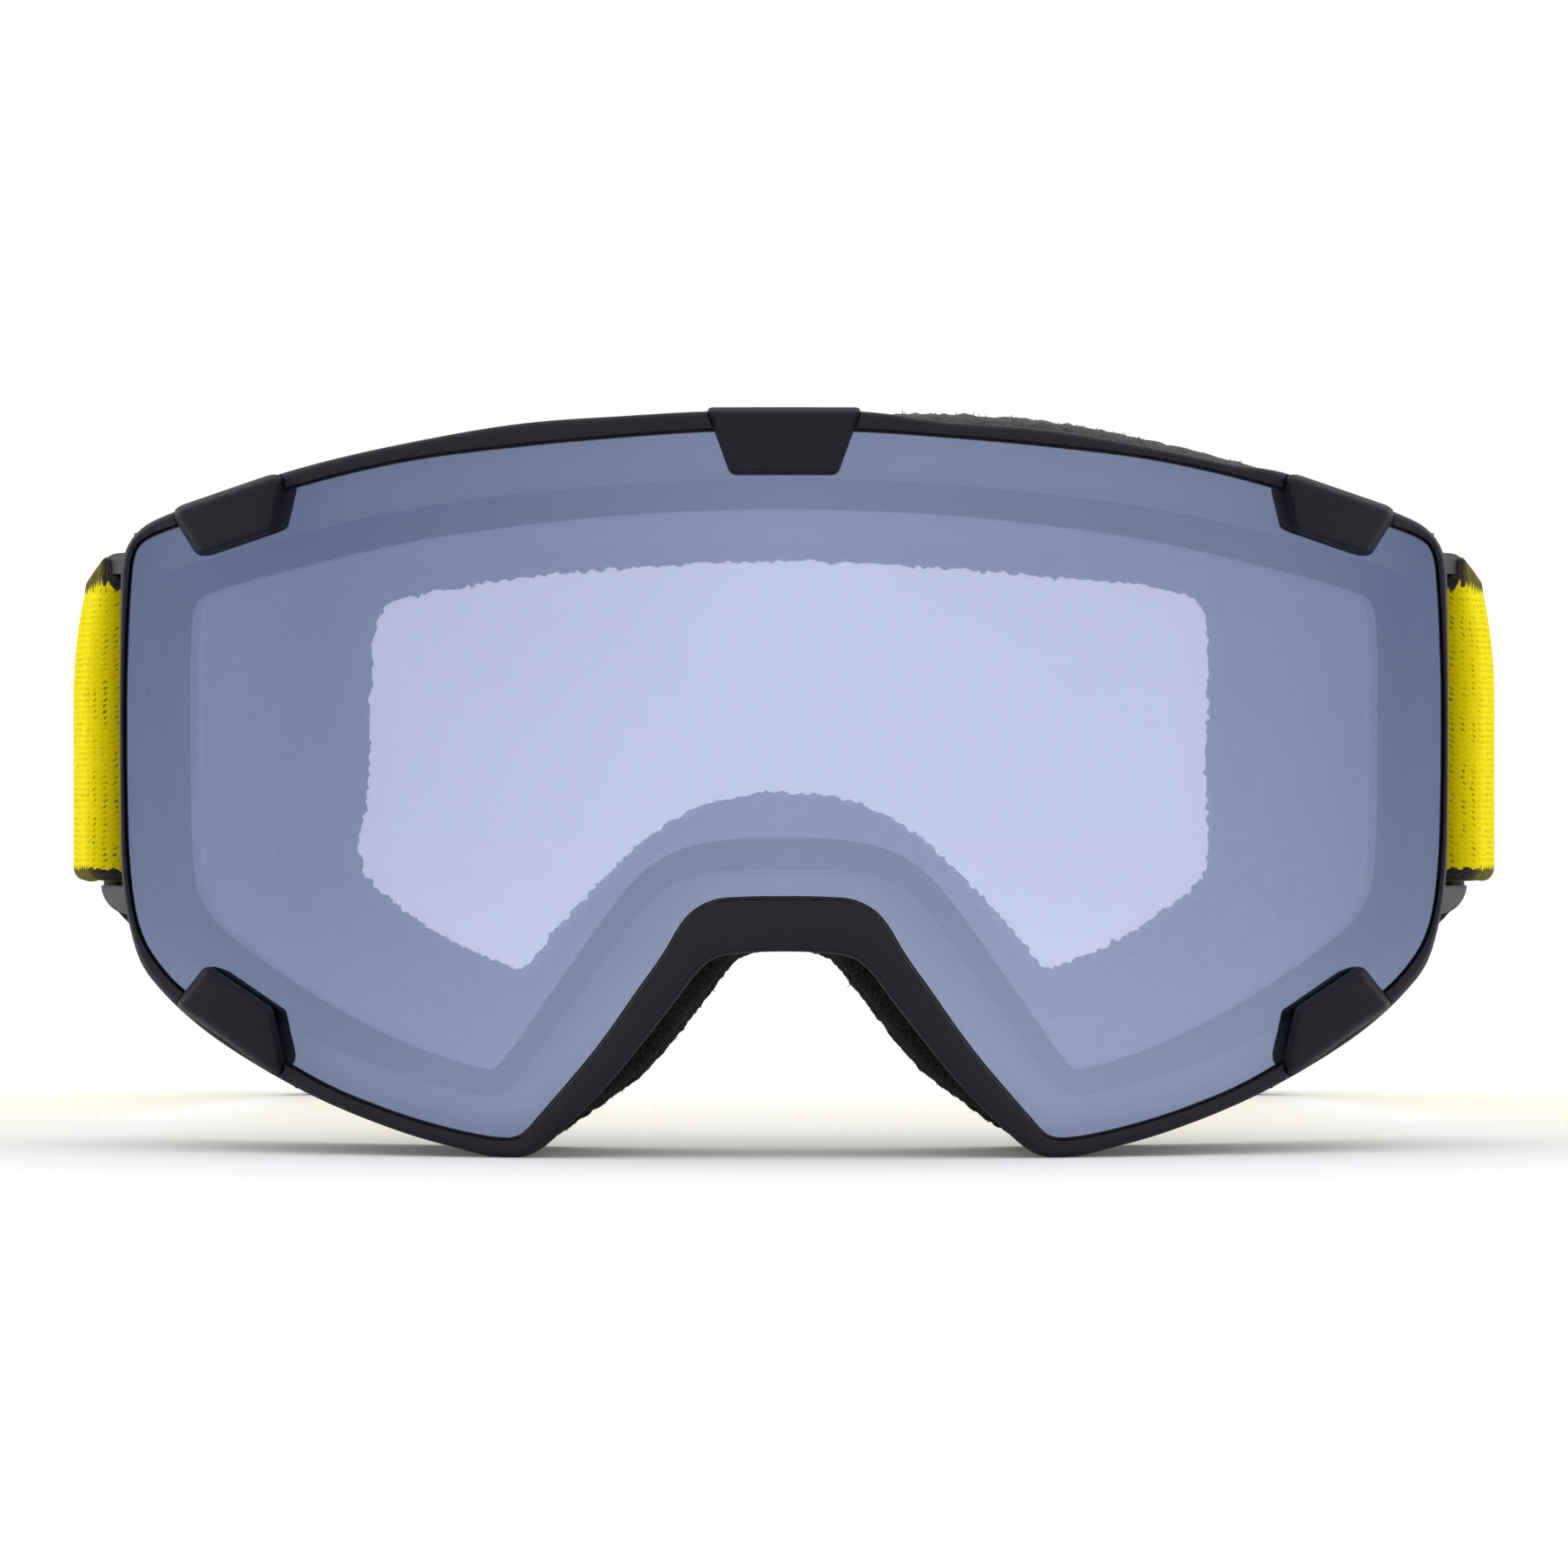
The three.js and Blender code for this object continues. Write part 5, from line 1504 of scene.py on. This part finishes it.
def build_rear(s, kind):
    """Rear clip half: a frame round the strap's loop, then a hook or a window."""
    def P(u0, u1, v0, v1, z0, z1, nm="b"):
        pts = []
        for u, v in ((u0, v0), (u1, v0), (u1, v1), (u0, v1)):
            pts.append((s * (END_BAR[0] + ALONG[0] * u - INWARD[0] * v), END_BAR[1] + ALONG[1] * u - INWARD[1] * v))
        return prism(nm, pts, z0, z1)

    ob = P(-2.2, 8.4, -2, 2, 0.0, 47.6, "rear")
    win = P(-4, 4.4, -4, 4, 2.2, 45.4)
    boolean(ob, [win], "DIFFERENCE")
    if kind == "hook":
        def poly(pts, z0, z1):
            return prism("b", [(s * (END_BAR[0] + ALONG[0] * u - INWARD[0] * v), END_BAR[1] + ALONG[1] * u - INWARD[1] * v) for u, v in pts], z0, z1)
        add = poly([(7, -0.2), (7, 1.7), (17.5, 1.7), (17.5, -4.4), (12, -4.4), (12, -2.6), (15.3, -2.6), (15.3, -0.2)], 10, 37.6)
        boolean(ob, [add], "UNION")
    else:
        add = P(7, 18, -1.7, 1.7, 2.5, 45.1)
        boolean(ob, [add], "UNION")
        hole = P(8.6, 15.2, -4, 4, 7.5, 40.1)
        boolean(ob, [hole], "DIFFERENCE")
    bevel(ob, 0.75, 5, 30)
    for v in ob.data.vertices:
        x, y, z = v.co[0] * 1000, v.co[1] * 1000 - OY, v.co[2] * 1000
        out = -((s * x - END_BAR[0]) * INWARD[0] + (y - END_BAR[1]) * INWARD[1])
        if z < 3.2 and out > 0.8:
            k = 3.1 * (1 if z < 0.4 else 0.82 if z < 0.9 else 0.62)
            v.co[0] += s * k * INWARD[0] / 1000
            v.co[1] += k * INWARD[1] / 1000
    bar = cyl("bar", s * END_BAR[0], END_BAR[1], END_BAR_R, 1.0, 46.6, 36)
    boolean(ob, [bar], "UNION")
    clean(ob)
    return finish_mesh(dress(ob, "clip"), 32)


def build_outrigger(s):
    h = 1.95
    dx, dy = BAR[0] - PIN[0], BAR[1] - PIN[1]
    l = math.hypot(dx, dy)
    ang = math.atan2(dy, dx)

    def capsule(z0, z1, h=h):
        pts = []
        n = 20
        for k in range(n + 1):
            a = ang + math.pi / 2 + math.pi * k / n
            pts.append((s * (PIN[0] + h * math.cos(a)), PIN[1] + h * math.sin(a)))
        for k in range(n + 1):
            a = ang - math.pi / 2 + math.pi * k / n
            pts.append((s * (BAR[0] + h * math.cos(a)), BAR[1] + h * math.sin(a)))
        return prism("arm", pts, z0, z1)

    ob = capsule(76.7, 79.5)
    low = capsule(30.9, 34.7)
    # rounded outer corners
    def corner(z_edge, sign):
        x1 = BAR[0] + h + 0.4
        pts = [(s * x1, z_edge - sign * 6)]
        r = 4.2 if sign < 0 else 2.6
        for k in range(13):
            a = math.pi / 2 * k / 12
            pts.append((s * (x1 - 0.4 - r + r * math.cos(a)), z_edge - sign * r + sign * r * math.sin(a)))
        pts.append((s * (x1 - 0.4 - r), z_edge + sign * 2))
        pts.append((s * (x1 + 2), z_edge + sign * 2))
        pts.append((s * (x1 + 2), z_edge - sign * 6))
        return prism("cut", pts, 40, 70, axis="y")

    boolean(ob, [corner(79.5, 1)], "DIFFERENCE")
    boolean(low, [corner(30.9, -1)], "DIFFERENCE")
    barrel = cyl("bar", s * PIN[0], PIN[1], 1.9, 30.9, 79.5, 48)
    bar = cyl("bar", s * BAR[0], BAR[1], 1.6, 33.5, 78, 40)
    boolean(ob, [low], "UNION")
    bevel(ob, 0.4, 3, 40)
    boolean(ob, [barrel, bar], "UNION")
    bore = cyl("bar", s * PIN[0], PIN[1], 1.12, 20, 90, 32)
    boolean(ob, [bore], "DIFFERENCE")
    clean(ob)
    return finish_mesh(dress(ob, "wing"), 36)


def build_pin(s):
    ob = cyl("pin", s * PIN[0], PIN[1], 0.8, 27.2, 82.4, 32, 0.25)
    head = cyl("b", s * PIN[0], PIN[1], 1.1, 82.05, 82.5, 32, 0.2)
    foot = cyl("b", s * PIN[0], PIN[1], 1.35, 26.85, 27.45, 32, 0.3)
    boolean(ob, [head, foot], "UNION")
    clean(ob)
    return finish_mesh(dress(ob, "steel"), 40)


# ------------------------------------------------------------------ assembly
def place(ob, name, body, slot, *nodes):
    ob.name = name
    ob.data.name = name
    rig.ride(ob, body)
    if nodes:
        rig.replaces(ob, *nodes)
    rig.slot(ob, slot)
    return ob


place(build_frame(), "frame_moulding", "frame", "frame_black", "frame_shell")
place(plate("outer_lens_sheet", LENS, MARKS["LENS"], 127.8, 126.6, 0.22, ("lens", "lens_back", "lens_edge")), "outer_lens_sheet", "lens_unit", "lens_mirror", "outer_lens")
place(plate("inner_lens_sheet", GASKET_OUT, MARKS["GASKET_OUT"], 123.0, 122.2, 0.15, ("inner", "inner", "lens_edge")), "inner_lens_sheet", "lens_unit", "lens_clear", "inner_lens")
place(build_gasket(), "lens_gasket_ring", "lens_unit", "gasket_foam", "lens_gasket")
place(build_breather(), "breather_plug", "lens_unit", "silicone_black", "lens_breather")
for name, (pts, radii) in all_clips().items():
    place(build_clip(name + "_cover", pts, radii), name + "_cover", "lens_unit", "clip_black", name)

base, soft, fleece = build_foams()
place(base, "foam_firm_layer", "frame", "foam_grey", "face_foam_base")
place(soft, "foam_soft_layer", "frame", "foam_grey", "face_foam_soft")
place(fleece, "fleece_layer", "frame", "fleece_grey", "face_foam_fleece")
for o in (base, soft, fleece):
    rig.padded(o, fill=0.8)

place(vent_strip("vent_mesh_top", -57, 57, lambda x: interp_z(RIM[:9], x), -1, 130), "vent_mesh_top", "frame", "foam_grey", "vent_foam_top")
for s, side in ((-1, "left"), (1, "right")):
    place(vent_strip("vent_mesh_lower_" + side, s * 40.5, s * 66, lambda x: interp_z(RIM[19:29], x), 1, 34), "vent_mesh_lower_" + side, "frame", "foam_grey", "vent_foam_lower_" + side)
    place(build_pin(s), "outrigger_pin_" + side, "frame", "pin_steel", "hinge_pin_" + side)
    place(build_outrigger(s), "outrigger_wing_" + side, "outrigger_" + side, "wing_grey", "outrigger_" + side)
    place(ribbon("strap_band_" + side, main_path(), s, seed=3.0 + s, curl=band_curl), "strap_band_" + side, "strap_" + side, "strap_yellow", "strap_" + side)
    inner = ribbon("strap_inner_layer_" + side, inner_path(), s, seed=8.0 + s, u0=4.0)
    a, b = to_world([(s * 88.0, 66.0, 55.0)])[0], to_world([(s * layer_pt(103, 1.9)[0], 103.0, 55.0)])[0]
    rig.blend(inner, "strap_" + side, "slider_" + side, start=tuple(a), end=tuple(b))
    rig.slot(inner, "strap_yellow")
    place(build_slider(s), "strap_slider_" + side, "slider_" + side, "clip_black", "slider_" + side)
    place(grip_bead("grip_beads_upper_" + side, s, 66.0), "grip_beads_upper_" + side, "strap_" + side, "silicone_black", "grip_strip_upper_" + side)
    place(grip_bead("grip_beads_lower_" + side, s, 45.4), "grip_beads_lower_" + side, "strap_" + side, "silicone_black", "grip_strip_lower_" + side)
    place(stitches("strap_end_stitches_" + side, 230.5, 235.5, (2.6, -0.92), s), "strap_end_stitches_" + side, "strap_" + side, "silicone_black")
    place(stitches("slider_stitches_" + side, 105.5, 110.0, (4.35,), s, rows=3), "slider_stitches_" + side, "slider_" + side, "silicone_black")
place(build_rear(-1, "hook"), "rear_hook_half", "rear_clip_hook", "clip_black", "rear_clip_hook")
place(build_rear(1, "loop"), "rear_loop_half", "rear_clip_loop", "clip_black", "rear_clip_loop")

# ------------------------------------------------------------------ floor, light, camera
fm, nt, out = material("studio_floor")
n = N(nt)
vec = n.node("ShaderNodeTexCoord").outputs["Object"]
col = n.mix(n.noise(vec, 40, 2), rgb(0.93, 0.93, 0.93), rgb(0.95, 0.95, 0.95))
b = n.node("ShaderNodeBsdfPrincipled", {"Base Color": col, "Roughness": 0.9, "Specular IOR Level": 0.1, "Emission Color": rgb(1, 1, 1), "Emission Strength": 0.06})
nt.links.new(b.outputs[0], out.inputs[0])
fme = bpy.data.meshes.new("floor")
fme.from_pydata([(-6, -6, 0), (6, -6, 0), (6, 6, 0), (-6, 6, 0)], [], [(0, 1, 2, 3)])
floor = bpy.data.objects.new("floor", fme)
scene.collection.objects.link(floor)
fme.materials.append(fm)
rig.stage(floor)

world = bpy.data.worlds.new("studio")
scene.world = world
world.use_nodes = True
wn = N(world.node_tree)
world.node_tree.nodes.clear()
wout = wn.node("ShaderNodeOutputWorld")
bg = wn.node("ShaderNodeBackground", {"Color": rgb(1, 1, 1), "Strength": 1.0})
world.node_tree.links.new(bg.outputs[0], wout.inputs[0])


def area(name, loc, target, size, power):
    la = bpy.data.lights.new(name, "AREA")
    la.shape = "RECTANGLE"
    la.size, la.size_y = size
    la.energy = power
    ob = bpy.data.objects.new(name, la)
    ob.location = loc
    d = Vector(target) - Vector(loc)
    ob.rotation_euler = d.to_track_quat("-Z", "Y").to_euler()
    scene.collection.objects.link(ob)
    return ob


area("light_top", (0, -0.1, 1.5), (0, 0, 0.05), (2.2, 1.6), 2)
area("light_back_left", (-1.2, 0.9, 0.9), (0, 0, 0.05), (1.0, 1.0), 1.6)
area("light_back_right", (1.2, 0.9, 0.9), (0, 0, 0.05), (1.0, 1.0), 1.6)

CAM_DIST, CAM_Z, YAW = 1.2, 0.0484, 0.0
cam_data = bpy.data.cameras.new("camera")
cam_data.sensor_width = 36
cam_data.lens = 36 * 1200 / (1806 * 0.112)
cam_data.clip_start = 0.01
cam_data.clip_end = 50
cam = bpy.data.objects.new("camera", cam_data)
target = Vector((0, OY / 1000, CAM_Z))
cam.location = target + Vector((-math.sin(YAW), -math.cos(YAW), 0)) * CAM_DIST
cam.rotation_euler = (target - cam.location).to_track_quat("-Z", "Y").to_euler()
scene.collection.objects.link(cam)
scene.camera = cam
scene.view_settings.view_transform = "Standard"

bpy.context.view_layer.update()
lo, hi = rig.bounds()
json.dump({"cad": [list(map(float, CAD_BOX[0])), list(map(float, CAD_BOX[1]))], "visual": [list(map(float, lo)), list(map(float, hi))]}, open("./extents.json", "w"))
